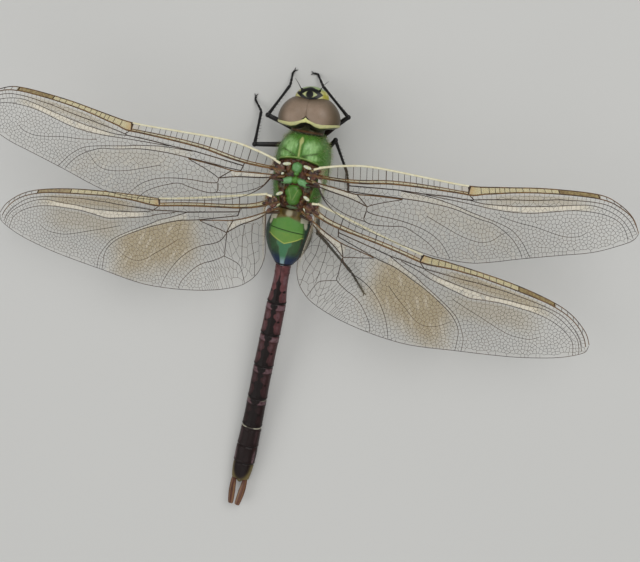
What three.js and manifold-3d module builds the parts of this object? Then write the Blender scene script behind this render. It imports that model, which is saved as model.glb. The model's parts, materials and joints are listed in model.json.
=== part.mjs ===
// A common green darner dragonfly (Anax junius, female) at life size, standing on a floor.
// Millimetres. +Z is up and the floor is z = 0. The head looks along -Y and the insect's left is +X.
// In outlines and sizes, a side piece is written for the left side and mirrored for the right.
import * as THREE from "three";
import { mergeVertices } from "three/addons/utils/BufferGeometryUtils.js";
import Module from "manifold-3d";

const wasm = await Module();
wasm.setup();

const RAD = Math.PI / 180;
const GAP = 0.06; // clearance between neighbouring pieces
const LEFT = 1;
const RIGHT = -1;
const FAR = 8; // beyond the head on every side

// Sides round each form, or [columns, rows] of each ball.
const DETAIL = {
  thorax: 16,
  neck: 12,
  backPlate: [9, 6],
  eye: [18, 12],
  rim: 18,
  occiput: [8, 6],
  nape: [8, 5],
  face: [10, 6],
  antenna: 5,
  spar: 4,
  hinge: 6,
  outline: 2, // steps of a wing's outline between two of its points
  abdomen: 12,
  keel: 8,
  endPlate: [7, 4],
  cercus: 8,
  coxa: [6, 4],
  femur: 6,
  tibia: 6,
  tarsus: 5,
  claw: 4,
};

const COLOURS = {
  thorax: 0x6fb52e,
  back: 0x57a83a,
  neck: 0x3c3d1c,
  eye: 0x6f6552,
  head: 0xc9cf6a,
  frons: 0xa9b83a,
  clypeus: 0xb4bd4a,
  labrum: 0xb9b552,
  labium: 0x9a9a4a,
  antenna: 0x1c1814,
  wing: 0xb9a88c,
  abdomen: [0x7c8a3a, 0x4f7f4a, 0x5a3c38, 0x5a3c38, 0x523733, 0x4a322d, 0x44302b],
  ovipositor: 0x2a1d18,
  cercus: 0x6b4a33,
  femur: 0x241a17,
  tibia: 0x1f1715,
  tarsus: 0x1a1412,
};

// ---- Driving dimensions ----

// The thorax's frame: +X left, +Y back, +Z up, pitched head-up by `pitch` degrees.
const THORAX = { place: [0, -24.4, 8.6], pitch: 2 };

// Rings of the thorax: [y, middle height, half-width, half-height].
const THORAX_RINGS = [
  [-5.7, 0.9, 1.9, 2.2],
  [-5.2, 0.7, 2.9, 3.2],
  [-4.2, 0.3, 3.85, 4.15],
  [-2.6, -0.2, 4.45, 4.75],
  [-0.6, -0.5, 4.68, 4.95],
  [2.0, -0.7, 4.65, 4.8],
  [4.6, -0.7, 4.4, 4.4],
  [6.5, -0.6, 3.9, 3.9],
  [7.7, -0.4, 3.1, 3.0],
];
const THORAX_LEAN = 0.22; // how far the thorax leans back for each mm of height
const THORAX_POWER = 2.3; // 2 is an ellipse, and more is squarer

const PROTHORAX_RINGS = [
  [-7.0, 0.7, 0.8, 0.8],
  [-6.55, 0.65, 1.3, 1.3],
  [-6.15, 0.5, 1.9, 1.9],
  [-5.4, 0.1, 2.8, 3.4],
];

// The plates of the back between the wings: [y, height, half-width, half-length, half-height].
const BACK_PLATES = [
  [0.5, 3.75, 1.75, 1.5, 1.05],
  [3.1, 3.35, 2.5, 1.15, 1.05],
  [5.3, 3.1, 1.75, 1.75, 1.1],
  [7.1, 2.5, 2.0, 0.8, 0.9],
];

// The head's frame: its origin is in the thorax's frame, and its axes are the thorax's, turned.
const HEAD = { place: [0.1, -9.6, 0.3], turn: 4.5 }; // turned to the left by `turn` degrees
const EYE = { at: [2.0, 1.45, 0.6], half: [3.3, 3.35, 3.7] };
const EYE_REAR = 1.95; // the plane where the eyes end and the rear rim of the head begins
const RIM_RINGS = [
  [1.1, 0.5, 4.9, 3.5],
  [2.0, 0.5, 5.28, 3.78],
  [2.65, 0.45, 5.25, 3.65],
  [3.05, 0.4, 4.7, 3.15],
];
const NAPE = { at: [0, 4.1, 0.4], half: [3.2, 1.85, 3.0] }; // the hollow at the back of the head
const OCCIPUT = { at: [0, 1.75, 3.75], half: [0.62, 0.8, 0.55] };
const FACE = {
  frons: { at: [0, -1.65, 0.6], half: [2.75, 2.0, 1.65] },
  clypeus: { at: [0, -1.35, -0.95], half: [2.45, 1.7, 1.2] },
  labrum: { at: [0, -0.95, -2.15], half: [2.1, 1.5, 1.0] },
  labium: { at: [0, 0.55, -2.75], half: [2.7, 2.1, 1.2] },
};
const ANTENNA = [
  [1.45, -2.4, 1.9],
  [1.8, -3.2, 2.3],
  [2.3, -4.0, 2.1],
  [2.9, -4.7, 1.5],
];
const ANTENNA_RADII = [0.4, 0.3, 0.26, 0.25];

// Wings, in the plane of the wing: [outward, backward] from the root of the leading edge.
const WING_THICK = 0.5;
const SPAR = [0.4, 0.48]; // half-width and half-height of the ridge behind the leading edge
const SPAR_TIP = 0.6; // the ridge's size at its tip against its root
const SPAR_INSET = 0.5;

// The wing's hinge, a stout stalk from inside the thorax to the plate: [outward, backward, up, half-width,
// half-height].
const HINGE_RINGS = [
  [-2.2, 1.3, -0.3, 1.0, 0.5],
  [-0.6, 1.3, -0.1, 1.35, 0.6],
  [0.9, 1.2, 0, 1.2, 0.45],
  [2.6, 1.1, 0, 0.7, 0.3],
];
const FOREWING = {
  root: [3.8, 0, 4.15],
  sweep: { [LEFT]: -5.2, [RIGHT]: -5.2 },
  rise: { [LEFT]: 4.6, [RIGHT]: 3.0 },
  lead: [
    [0, 0], [4, -0.7], [9, -1.0], [18, -0.15], [25.5, 0.55], [31, 0.25],
    [38, -0.25], [46, -0.15], [49.4, 1.0], [51.9, 3.0], [53.1, 5.4],
  ],
  trail: [
    [52.5, 6.5], [51.0, 7.4], [46.5, 9.2], [41.3, 10.3], [35.5, 11.5], [30, 12.75],
    [26.5, 13.2], [21, 12.8], [15, 11.4], [10, 10.0], [6, 8.7], [3.2, 7.1], [1.3, 5.3],
    [0.2, 3.4],
  ],
};
const HINDWING = {
  root: [4.46, 6.1, 3.3],
  sweep: { [LEFT]: 9.9, [RIGHT]: 11.6 },
  rise: { [LEFT]: -3.9, [RIGHT]: -0.9 },
  lead: [
    [0, 0], [7, 0.5], [13.5, 0.95], [19.9, 1.15], [24, 0.7], [30, 0.15],
    [36.5, -0.2], [42.5, 0], [46.5, 0.8], [49.8, 2.6], [51.3, 4.4],
  ],
  trail: [
    [51, 6.0], [47.5, 8.4], [42, 10.8], [37, 12.5], [31, 14.3], [26, 15.85], [22, 16.75],
    [16.5, 17.25], [11, 17.2], [7, 16.65], [4.3, 15.8], [1.9, 13.9], [0.5, 10.8], [0.45, 7],
    [0.3, 3.4],
  ],
};

// Abdomen: the line of its middle, in the floor's frame, and one row for each segment with its length and
// the [half-width, half-height] at its front, middle and rear.
const ABDOMEN_LINE = [
  [0.3, -16.5, 7.95],
  [0.35, -6.2, 7.2],
  [0.65, 3.5, 5.85],
  [1.2, 13.0, 4.4],
  [1.6, 23.0, 2.9],
  [2.05, 31.5, 1.95],
  [2.3, 36.1, 1.8],
];
const SEGMENTS = [
  { length: 2.1, front: [2.8, 2.7], middle: [3.15, 2.9], rear: [3.65, 3.05] },
  { length: 7.9, front: [3.65, 3.05], middle: [3.72, 2.95], rear: [1.4, 1.6] },
  { length: 7.0, front: [1.4, 1.6], middle: [1.35, 1.4], rear: [1.75, 1.55] },
  { length: 6.3, front: [1.75, 1.55], middle: [1.75, 1.5], rear: [1.8, 1.55] },
  { length: 6.2, front: [1.8, 1.55], middle: [1.75, 1.5], rear: [1.8, 1.55] },
  { length: 6.0, front: [1.8, 1.55], middle: [1.75, 1.5], rear: [1.8, 1.55] },
  { length: 5.6, front: [1.8, 1.55], middle: [1.8, 1.5], rear: [1.85, 1.55] },
  { length: 3.9, front: [1.85, 1.55], middle: [1.9, 1.6], rear: [1.95, 1.65] },
  { length: 3.7, front: [1.95, 1.65], middle: [2.0, 1.7], rear: [2.0, 1.6] },
  { length: 3.4, front: [2.0, 1.6], middle: [1.95, 1.45], rear: [1.75, 1.2] },
];
const JOINT_PINCH = 0.93; // a segment's end rings against its full girth
const SEGMENT_STEPS = [0, 0.06, 0.4, 0.7, 0.95, 1];
const END_PLATES = { half: [1.15, 0.75, 0.75], drop: 0.1 }; // between the cerci

// Cerci: [distance behind the last segment, sideways, half-width, half-height].
const CERCUS_RINGS = [
  [0.1, 0.95, 0.38, 0.34],
  [1.1, 1.0, 0.55, 0.3],
  [2.6, 1.0, 0.64, 0.26],
  [3.9, 0.95, 0.5, 0.25],
  [4.6, 0.9, 0.25, 0.25],
];
const CERCUS_LIFT = 0.25; // how far the cerci stand above the abdomen's middle line

// The ovipositor's keel under the ninth segment, between two shares of the abdomen's length.
const OVIPOSITOR = { segment: 9, from: 0.868, to: 0.93, half: [0.42, 0.75], drop: 1.5, taper: 0.8 };

// Legs: joints in the floor's frame, from the hip to the claws.
const LEGS = {
  fore_left: {
    hip: [1.7, -29.6, 4.1],
    knee: [8.05, -31.5, 6.2],
    ankle: [5.9, -37.45, 2.0],
    heel: [6.2, -39.8, 0.2],
    toe: [5.95, -40.15, 0.18],
  },
  fore_right: {
    hip: [-1.7, -29.6, 4.1],
    knee: [-6.0, -33.6, 5.6],
    ankle: [-0.05, -38.2, 2.0],
    heel: [1.65, -40.3, 0.2],
    toe: [2.35, -40.3, 0.18],
  },
  middle_left: {
    hip: [1.9, -27.4, 3.7],
    knee: [9.5, -26.05, 6.2],
    ankle: [10.35, -32.0, 1.8],
    heel: [12.2, -33.9, 0.2],
    toe: [12.2, -34.4, 0.18],
  },
  middle_right: {
    hip: [-1.9, -25.6, 3.6],
    knee: [-4.5, -29.3, 5.4],
    ankle: [-7.0, -23.9, 1.3],
    heel: [-7.5, -21.6, 0.2],
    toe: [-7.6, -21.0, 0.18],
  },
  hind_left: {
    hip: [1.8, -22.6, 3.5],
    knee: [3.5, -12.9, 4.2],
    ankle: [1.7, -4.4, 1.2],
    heel: [1.4, -1.3, 0.2],
    toe: [1.35, -0.7, 0.18],
  },
  hind_right: {
    hip: [-1.8, -22.6, 3.5],
    knee: [-4.3, -12.6, 4.3],
    ankle: [-11.1, -6.5, 1.2],
    heel: [-13.4, -3.7, 0.2],
    toe: [-13.8, -3.2, 0.18],
  },
};
const COXA = [0.95, 0.85, 0.95];
const FEMUR_RADII = [0.75, 0.56, 0.48, 0.2];
const TIBIA_RADII = [0.36, 0.33, 0.3, 0.25];
const TARSUS_RADII = [0.25, 0.28, 0.27, 0.24];
const TARSUS_THICKEST = 0.55; // the place of its thickest ring between its start and the heel
const CLAW_RADII = [0.25, 0.15];
const CLAW_LINE = [[-0.2, 0.08], [0.55, 0.32]]; // a claw's ends, [ahead, aside] of the toe
const KNEE_CLEAR = 0.62; // how far below the knee the tibia begins
const ANKLE_CLEAR = 0.32; // how far below the ankle the tarsus begins

// ---- Shapes and solids ----

const vector = (p) => new THREE.Vector3(...p);
const lerp = THREE.MathUtils.lerp;

// A superellipse's coordinate from the coordinate of a unit circle.
function squared(value, power) {
  return Math.sign(value) * Math.abs(value) ** (2 / power);
}

// A closed skin through rings { at, half: [width, height] }, from the first to the last. Each ring stands
// square to `facing`, or to the line through its neighbours where there is none. `lean` shifts a point
// along Y for each mm of its height, and no point lies lower than `lowest`.
function loft(rings, sides, { facing, power = 2, grow = 0, lean = 0, lowest = -Infinity } = {}) {
  const last = rings.length - 1;
  const frames = rings.map(({ at, half }, i) => {
    const next = vector(rings[Math.min(i + 1, last)].at);
    const along = facing ? vector(facing) : next.sub(vector(rings[Math.max(i - 1, 0)].at));
    const across = new THREE.Vector3(0, 0, 1).cross(along).normalize();
    const upright = along.clone().cross(across).normalize();
    return {
      at: vector(at),
      across: across.multiplyScalar(half[0] + grow),
      upright: upright.multiplyScalar(half[1] + grow),
    };
  });
  const geometry = new THREE.CylinderGeometry(1, 1, 1, sides, last);
  const position = geometry.getAttribute("position");
  const point = new THREE.Vector3();
  for (let i = 0; i < position.count; i++) {
    const ring = frames[Math.round((0.5 - position.getY(i)) * last)];
    point.copy(ring.at);
    point.addScaledVector(ring.across, squared(position.getX(i), power));
    point.addScaledVector(ring.upright, squared(position.getZ(i), power));
    point.y += lean * point.z;
    position.setXYZ(i, point.x, point.y, Math.max(point.z, lowest));
  }
  return geometry;
}

// A loft along Y, from rows of [y, middle height, half-width, half-height].
function loftAlongY(rows, sides, options) {
  const rings = rows.map(([y, z, width, height]) => ({ at: [0, y, z], half: [width, height] }));
  return loft(rings, sides, { facing: [0, 1, 0], ...options });
}

function ball({ at, half }, [columns, rows], grow = 0) {
  const geometry = new THREE.SphereGeometry(1, columns, rows);
  geometry.rotateX(Math.PI / 2);
  geometry.scale(half[0] + grow, half[1] + grow, half[2] + grow);
  return geometry.translate(...at);
}

function box(low, high) {
  const size = vector(high).sub(vector(low));
  const middle = vector(high).add(vector(low)).multiplyScalar(0.5);
  return new THREE.BoxGeometry(size.x, size.y, size.z).translate(middle.x, middle.y, middle.z);
}

// A closed geometry as a solid that can be joined and cut, moved by a matrix.
function solid(geometry, matrix = new THREE.Matrix4()) {
  const bare = geometry.clone().applyMatrix4(matrix);
  bare.deleteAttribute("normal");
  bare.deleteAttribute("uv");
  const merged = mergeVertices(bare, 1e-4);
  const triVerts = new Uint32Array(merged.index.array);
  if (matrix.determinant() < 0) triVerts.reverse();
  const mesh = new wasm.Mesh({
    numProp: 3,
    vertProperties: merged.attributes.position.array,
    triVerts,
  });
  return new wasm.Manifold(mesh);
}

// The biggest body of a solid as a geometry, moved by a matrix.
function shapeOf(cut, matrix = new THREE.Matrix4()) {
  const bodies = cut.decompose().sort((a, b) => b.volume() - a.volume());
  const { vertProperties, triVerts } = bodies[0].getMesh();
  const geometry = new THREE.BufferGeometry();
  geometry.setAttribute("position", new THREE.BufferAttribute(new Float32Array(vertProperties), 3));
  geometry.setIndex(new THREE.BufferAttribute(new Uint32Array(triVerts), 1));
  geometry.applyMatrix4(matrix);
  geometry.computeVertexNormals();
  return geometry;
}

function joined(solids) {
  return solids.reduce((all, one) => all.add(one));
}

function without(body, tools) {
  return tools.reduce((rest, tool) => rest.subtract(tool), body);
}

function piece(name, geometry, colour, roughness = 0.5) {
  const material = new THREE.MeshStandardMaterial({ color: colour, roughness, metalness: 0 });
  const mesh = new THREE.Mesh(geometry, material);
  mesh.name = name;
  return mesh;
}

const sideName = (side) => (side === LEFT ? "left" : "right");
const mirrored = (p, side) => [p[0] * side, p[1], p[2]];

// ---- The object ----

const dragonfly = new THREE.Group();
const trunk = new THREE.Group();
trunk.position.set(...THORAX.place);
trunk.rotation.x = -THORAX.pitch * RAD;
trunk.updateMatrix();
dragonfly.add(trunk);

function thoraxLoft(grow) {
  const options = { power: THORAX_POWER, lean: THORAX_LEAN, grow };
  return loftAlongY(THORAX_RINGS, DETAIL.thorax, options);
}

function backPlates(grow) {
  const plates = BACK_PLATES.map(([y, z, width, length, height]) =>
    solid(ball({ at: [0, y, z], half: [width, length, height] }, DETAIL.backPlate, grow)),
  );
  return joined(plates);
}

function addTrunk() {
  const thorax = solid(thoraxLoft(0)).subtract(backPlates(GAP));
  trunk.add(piece("thorax", shapeOf(thorax), COLOURS.thorax, 0.4));
  trunk.add(piece("thorax_back", shapeOf(backPlates(0)), COLOURS.back, 0.35));
  const neck = solid(loftAlongY(PROTHORAX_RINGS, DETAIL.neck)).subtract(solid(thoraxLoft(GAP)));
  trunk.add(piece("prothorax", shapeOf(neck), COLOURS.neck, 0.6));
}

function addHead() {
  const head = new THREE.Group();
  head.position.set(...HEAD.place);
  head.rotation.z = HEAD.turn * RAD;
  trunk.add(head);
  const eyeOf = (side, grow) => solid(ball({ ...EYE, at: mirrored(EYE.at, side) }, DETAIL.eye, grow));
  const behind = (y) => solid(box([-FAR, y, -FAR], [FAR, FAR, FAR]));
  const halfSpace = {
    [LEFT]: solid(box([GAP / 2, -FAR, -FAR], [FAR, FAR, FAR])),
    [RIGHT]: solid(box([-FAR, -FAR, -FAR], [-GAP / 2, FAR, FAR])),
  };
  const occiput = (grow) => solid(ball(OCCIPUT, DETAIL.occiput, grow));
  const rim = (grow) => solid(loftAlongY(RIM_RINGS, DETAIL.rim, { grow }));
  for (const side of [LEFT, RIGHT]) {
    const eye = without(eyeOf(side, 0).intersect(halfSpace[side]), [behind(EYE_REAR), occiput(GAP)]);
    head.add(piece("eye_" + sideName(side), shapeOf(eye), COLOURS.eye, 0.25));
  }
  const sockets = joined([eyeOf(LEFT, GAP), eyeOf(RIGHT, GAP)]).subtract(behind(EYE_REAR + GAP));
  const nape = solid(ball(NAPE, DETAIL.nape));
  const capsule = without(rim(0).add(occiput(0)), [sockets.subtract(occiput(0)), nape]);
  head.add(piece("head", shapeOf(capsule), COLOURS.head, 0.45));

  const taken = [sockets, rim(GAP)];
  for (const [name, form] of Object.entries(FACE)) {
    const shape = shapeOf(without(solid(ball(form, DETAIL.face)), taken));
    head.add(piece(name, shape, COLOURS[name], 0.4));
    taken.push(solid(ball(form, DETAIL.face, GAP)));
  }
  for (const side of [LEFT, RIGHT]) {
    const rings = ANTENNA.map((p, i) => ({
      at: mirrored(p, side),
      half: [ANTENNA_RADII[i], ANTENNA_RADII[i]],
    }));
    const antenna = without(solid(loft(rings, DETAIL.antenna)), taken);
    head.add(piece("antenna_" + sideName(side), shapeOf(antenna), COLOURS.antenna, 0.5));
  }
}

// ---- Wings ----

// The wing's plate: its outline as two smooth curves, from the root along the leading edge to the tip and
// back along the trailing edge.
function wingPlate({ lead, trail }) {
  const outline = new THREE.Shape();
  outline.moveTo(0, 0);
  outline.splineThru(lead.slice(1).map(([out, back]) => new THREE.Vector2(out, back)));
  outline.splineThru(trail.map(([out, back]) => new THREE.Vector2(out, back)));
  const options = { depth: WING_THICK, bevelEnabled: false, curveSegments: DETAIL.outline };
  return new THREE.ExtrudeGeometry(outline, options).translate(0, 0, -WING_THICK / 2);
}

// The stiff ridge behind the leading edge, thinner toward the tip.
function wingSpar(line) {
  const rings = line.map(([out, back], i) => {
    const thin = lerp(1, SPAR_TIP, i / (line.length - 1));
    return { at: [out, back, 0], half: [SPAR[0] * thin, SPAR[1] * thin] };
  });
  return loft(rings, DETAIL.spar);
}

function wingHinge() {
  const rings = HINGE_RINGS.map(([out, back, up, width, height]) => {
    return { at: [out, back, up], half: [width, height] };
  });
  return loft(rings, DETAIL.hinge);
}

function addWing(name, wing, side, taken) {
  const spar = wing.lead.slice(0, -2).map(([out, back]) => [out, back + SPAR_INSET]);
  const forms = [wingPlate(wing), wingSpar(spar), wingHinge()];
  const holder = new THREE.Group();
  holder.position.set(...mirrored(wing.root, side));
  holder.rotation.set(0, -wing.rise[side] * RAD * side, wing.sweep[side] * RAD * side, "ZYX");
  holder.scale.set(side, 1, 1);
  holder.updateMatrix();
  trunk.add(holder);
  const placed = joined(forms.map((form) => solid(form, holder.matrix)));
  const geometry = shapeOf(without(placed, taken), holder.matrix.clone().invert());
  if (side === RIGHT) geometry.index.array.reverse();
  holder.add(piece(name + "_" + sideName(side), geometry, COLOURS.wing, 0.3));
}

function addWings() {
  const taken = [solid(thoraxLoft(GAP)), backPlates(GAP)];
  for (const side of [LEFT, RIGHT]) {
    addWing("forewing", FOREWING, side, taken);
    addWing("hindwing", HINDWING, side, taken);
  }
}

// ---- Abdomen ----

const abdomenLine = new THREE.CatmullRomCurve3(ABDOMEN_LINE.map(vector), false, "catmullrom", 0.5);
const abdomenLength = SEGMENTS.reduce((sum, segment) => sum + segment.length, 0);

// The value at t between 0 and 1 on the smooth curve through the values at the front, middle and rear.
function through(front, middle, rear, t) {
  return front * (1 - t) * (1 - 2 * t) + 4 * middle * t * (1 - t) + rear * t * (2 * t - 1);
}

function segmentRings(segment, start) {
  return SEGMENT_STEPS.map((step) => {
    const end = step === 0 || step === 1;
    const inset = step === 0 ? GAP / 2 : step === 1 ? -GAP / 2 : 0;
    const place = (start + step * segment.length + inset) / abdomenLength;
    const pinch = end ? JOINT_PINCH : 1;
    const half = [0, 1].map(
      (axis) => pinch * through(segment.front[axis], segment.middle[axis], segment.rear[axis], step),
    );
    return { at: abdomenLine.getPointAt(THREE.MathUtils.clamp(place, 0, 1)).toArray(), half };
  });
}

// The keel has a flat underside, on which the abdomen rests.
function keel(grow) {
  const { from, to, half, drop, taper } = OVIPOSITOR;
  const rings = [from, (from + to) / 2, to].map((place, i) => {
    const p = abdomenLine.getPointAt(place);
    const scale = i === 1 ? 1 : taper;
    return { at: [p.x, p.y, p.z - drop], half: [scale * half[0], scale * half[1]] };
  });
  return solid(loft(rings, DETAIL.keel, { grow, lowest: 0 }));
}

// The small plates between the cerci.
function endPlates(grow) {
  const end = abdomenLine.getPointAt(1);
  const form = { at: [end.x, end.y, end.z - END_PLATES.drop], half: END_PLATES.half };
  return solid(ball(form, DETAIL.endPlate, grow));
}

function addAbdomen() {
  let start = 0;
  SEGMENTS.forEach((segment, i) => {
    let body = solid(loft(segmentRings(segment, start), DETAIL.abdomen));
    if (i === 0) {
      const plates = solid(shapeOf(backPlates(GAP)), trunk.matrix);
      body = without(body, [solid(thoraxLoft(GAP), trunk.matrix), plates]);
    }
    if (i + 1 === OVIPOSITOR.segment) body = body.subtract(keel(GAP));
    if (i === SEGMENTS.length - 1) body = body.add(endPlates(0));
    const shade = COLOURS.abdomen[Math.min(i, COLOURS.abdomen.length - 1)];
    dragonfly.add(piece("abdomen_" + (i + 1), shapeOf(body), shade, 0.35));
    start += segment.length;
  });
  dragonfly.add(piece("ovipositor", shapeOf(keel(0)), COLOURS.ovipositor, 0.5));
}

function addCerci() {
  const root = abdomenLine.getPointAt(1);
  const stub = endPlates(GAP);
  const along = abdomenLine.getTangentAt(1).setZ(0).normalize();
  const across = new THREE.Vector3(along.y, -along.x, 0);
  for (const side of [LEFT, RIGHT]) {
    const rings = CERCUS_RINGS.map(([back, aside, width, height]) => {
      const p = root.clone().addScaledVector(along, back).addScaledVector(across, aside * side);
      return { at: [p.x, p.y, p.z + CERCUS_LIFT], half: [width, height] };
    });
    const cercus = solid(loft(rings, DETAIL.cercus)).subtract(stub);
    dragonfly.add(piece("cercus_" + sideName(side), shapeOf(cercus), COLOURS.cercus, 0.45));
  }
}

// ---- Legs ----

// A limb along the straight line between two joints, starting `clear` below the first.
function limb(from, to, radii, sides, clear) {
  const a = vector(from);
  const b = vector(to);
  const start = clear / a.distanceTo(b);
  const rings = radii.map((radius, i) => {
    const at = a.clone().lerp(b, lerp(start, 1, i / (radii.length - 1)));
    return { at: at.toArray(), half: [radius, radius] };
  });
  return loft(rings, sides);
}

// The foot runs from below the ankle over the heel to the toe, flat on the floor.
function foot(ankle, heel, toe) {
  const start = vector(ankle).lerp(vector(heel), ANKLE_CLEAR / vector(ankle).distanceTo(vector(heel)));
  const middle = start.clone().lerp(vector(heel), TARSUS_THICKEST);
  const line = [start.toArray(), middle.toArray(), heel, toe];
  const rings = line.map((at, i) => ({ at, half: [TARSUS_RADII[i], TARSUS_RADII[i]] }));
  return loft(rings, DETAIL.tarsus, { lowest: 0 });
}

// The two claws spread from the end of the foot and lie on the floor.
function claws(heel, toe) {
  const ahead = vector(toe).sub(vector(heel)).setZ(0).normalize();
  const aside = new THREE.Vector3(-ahead.y, ahead.x, 0);
  return [LEFT, RIGHT].map((side) => {
    const rings = CLAW_LINE.map(([forward, out], i) => {
      const at = vector(toe).addScaledVector(ahead, forward).addScaledVector(aside, out * side);
      return { at: at.toArray(), half: [CLAW_RADII[i], CLAW_RADII[i]] };
    });
    return solid(loft(rings, DETAIL.claw, { lowest: 0 }));
  });
}

function addLeg(name, { hip, knee, ankle, heel, toe }, taken) {
  const coxa = solid(ball({ at: hip, half: COXA }, DETAIL.coxa));
  const femur = coxa.add(solid(limb(hip, knee, FEMUR_RADII, DETAIL.femur, 0)));
  dragonfly.add(piece(name + "_femur", shapeOf(without(femur, taken)), COLOURS.femur, 0.4));
  const tibia = limb(knee, ankle, TIBIA_RADII, DETAIL.tibia, KNEE_CLEAR);
  dragonfly.add(piece(name + "_tibia", tibia, COLOURS.tibia, 0.4));
  const tarsus = joined([solid(foot(ankle, heel, toe)), ...claws(heel, toe)]);
  dragonfly.add(piece(name + "_tarsus", shapeOf(tarsus), COLOURS.tarsus, 0.45));
}

function addLegs() {
  const taken = [
    solid(thoraxLoft(GAP), trunk.matrix),
    solid(loftAlongY(PROTHORAX_RINGS, DETAIL.neck, { grow: GAP }), trunk.matrix),
  ];
  for (const [name, leg] of Object.entries(LEGS)) addLeg("leg_" + name, leg, taken);
}

addTrunk();
addHead();
addWings();
addAbdomen();
addCerci();
addLegs();

export default dragonfly;
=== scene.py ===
"""A common green darner dragonfly (Anax junius, female) at life size, standing on a floor.

The script dresses the packed frame. Metres, +Z up, floor at z = 0. The head looks along -Y and the insect's
left is +X. Tables of sizes are in millimetres, and colours are written as hexadecimal codes.
"""

import bisect
import json
import math
import random

import bmesh
import bpy
from mathutils import Euler, Matrix, Vector, noise
from mathutils.geometry import delaunay_2d_cdt

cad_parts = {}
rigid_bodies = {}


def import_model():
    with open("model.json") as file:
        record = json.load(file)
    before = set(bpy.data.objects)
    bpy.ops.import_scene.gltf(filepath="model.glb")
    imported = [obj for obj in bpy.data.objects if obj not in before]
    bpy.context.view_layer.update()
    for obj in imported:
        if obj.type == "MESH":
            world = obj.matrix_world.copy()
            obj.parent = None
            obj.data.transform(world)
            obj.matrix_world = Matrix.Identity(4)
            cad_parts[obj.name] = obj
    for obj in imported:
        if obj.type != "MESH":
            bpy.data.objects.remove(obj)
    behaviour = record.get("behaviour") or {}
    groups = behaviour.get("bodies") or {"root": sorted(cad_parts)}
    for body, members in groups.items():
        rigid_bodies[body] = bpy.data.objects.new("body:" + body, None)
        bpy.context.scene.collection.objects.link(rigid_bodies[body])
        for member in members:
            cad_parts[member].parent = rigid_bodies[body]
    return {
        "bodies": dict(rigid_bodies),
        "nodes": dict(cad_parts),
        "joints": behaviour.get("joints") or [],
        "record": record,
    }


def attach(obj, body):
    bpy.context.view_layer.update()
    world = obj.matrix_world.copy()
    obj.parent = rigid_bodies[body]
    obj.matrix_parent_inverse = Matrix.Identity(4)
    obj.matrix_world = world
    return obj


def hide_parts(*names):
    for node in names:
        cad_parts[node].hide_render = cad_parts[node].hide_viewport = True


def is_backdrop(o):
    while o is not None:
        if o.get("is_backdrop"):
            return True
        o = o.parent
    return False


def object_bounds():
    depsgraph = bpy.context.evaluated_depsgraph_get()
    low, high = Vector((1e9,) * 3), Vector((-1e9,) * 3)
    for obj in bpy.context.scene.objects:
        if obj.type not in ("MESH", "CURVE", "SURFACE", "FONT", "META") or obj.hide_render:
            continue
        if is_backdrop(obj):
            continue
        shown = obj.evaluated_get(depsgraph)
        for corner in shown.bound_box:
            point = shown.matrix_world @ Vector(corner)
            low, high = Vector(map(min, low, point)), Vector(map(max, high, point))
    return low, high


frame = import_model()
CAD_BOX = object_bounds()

bl_info = {
    "name": "Green darner dragonfly",
    "version": (1, 0, 0),
    "blender": (4, 5, 0),
    "location": "View3D > Sidebar > Dragonfly",
    "description": "Builds a life-size green darner dragonfly piece by piece on its packed frame",
    "category": "Mesh",
}

MM = 0.001
LEFT, RIGHT = 1, -1
SIDES = {"left": LEFT, "right": RIGHT}
WELD = 2e-7  # metres; vertices closer than this are one


def paint(code):
    """The linear colour of a hexadecimal code, as Blender's colour properties hold it."""

    def linear(part):
        part /= 255
        return part / 12.92 if part <= 0.04045 else ((part + 0.055) / 1.055) ** 2.4

    return tuple(linear((code >> shift) & 255) for shift in (16, 8, 0))


# ---- Sizes of the insect ----

# The thorax's frame is +X left, +Y back, +Z up, pitched head-up. The head's frame is turned in it.
TRUNK = Matrix.Translation((0, -24.4, 8.6)) @ Matrix.Rotation(math.radians(-2), 4, "X")
HEAD = TRUNK @ Matrix.Translation((0.1, -9.6, 0.3)) @ Matrix.Rotation(math.radians(4.5), 4, "Z")
FLOOR = Matrix.Identity(4)

# Rings of the thorax and the neck: (y, middle height, half-width, half-height).
THORAX_RINGS = (
    (-5.75, 0.9, 1.5, 2.0),
    (-5.3, 0.7, 2.45, 3.0),
    (-4.3, 0.3, 3.5, 4.1),
    (-2.6, -0.2, 4.4, 4.75),
    (-0.6, -0.5, 4.68, 4.95),
    (2.0, -0.7, 4.65, 4.8),
    (4.6, -0.7, 4.4, 4.4),
    (6.5, -0.6, 3.9, 3.9),
    (7.7, -0.4, 3.1, 3.0),
)
THORAX_LEAN = 0.22  # how far the thorax leans back for each mm of height
THORAX_POWER = 2.3  # 2 is an ellipse, and more is squarer
NECK_RINGS = (
    (-7.2, 0.65, 1.9, 1.4),
    (-6.9, 0.6, 2.6, 1.7),
    (-6.4, 0.45, 2.95, 2.0),
    (-6.0, 0.35, 2.95, 2.3),
    (-5.6, 0.2, 2.8, 2.9),
    (-5.2, 0.1, 2.8, 3.3),
)
ANTEALAR = (-1.1, 0.055)  # the ridge in front of the wings: y at the middle, and its bend per mm squared

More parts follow.
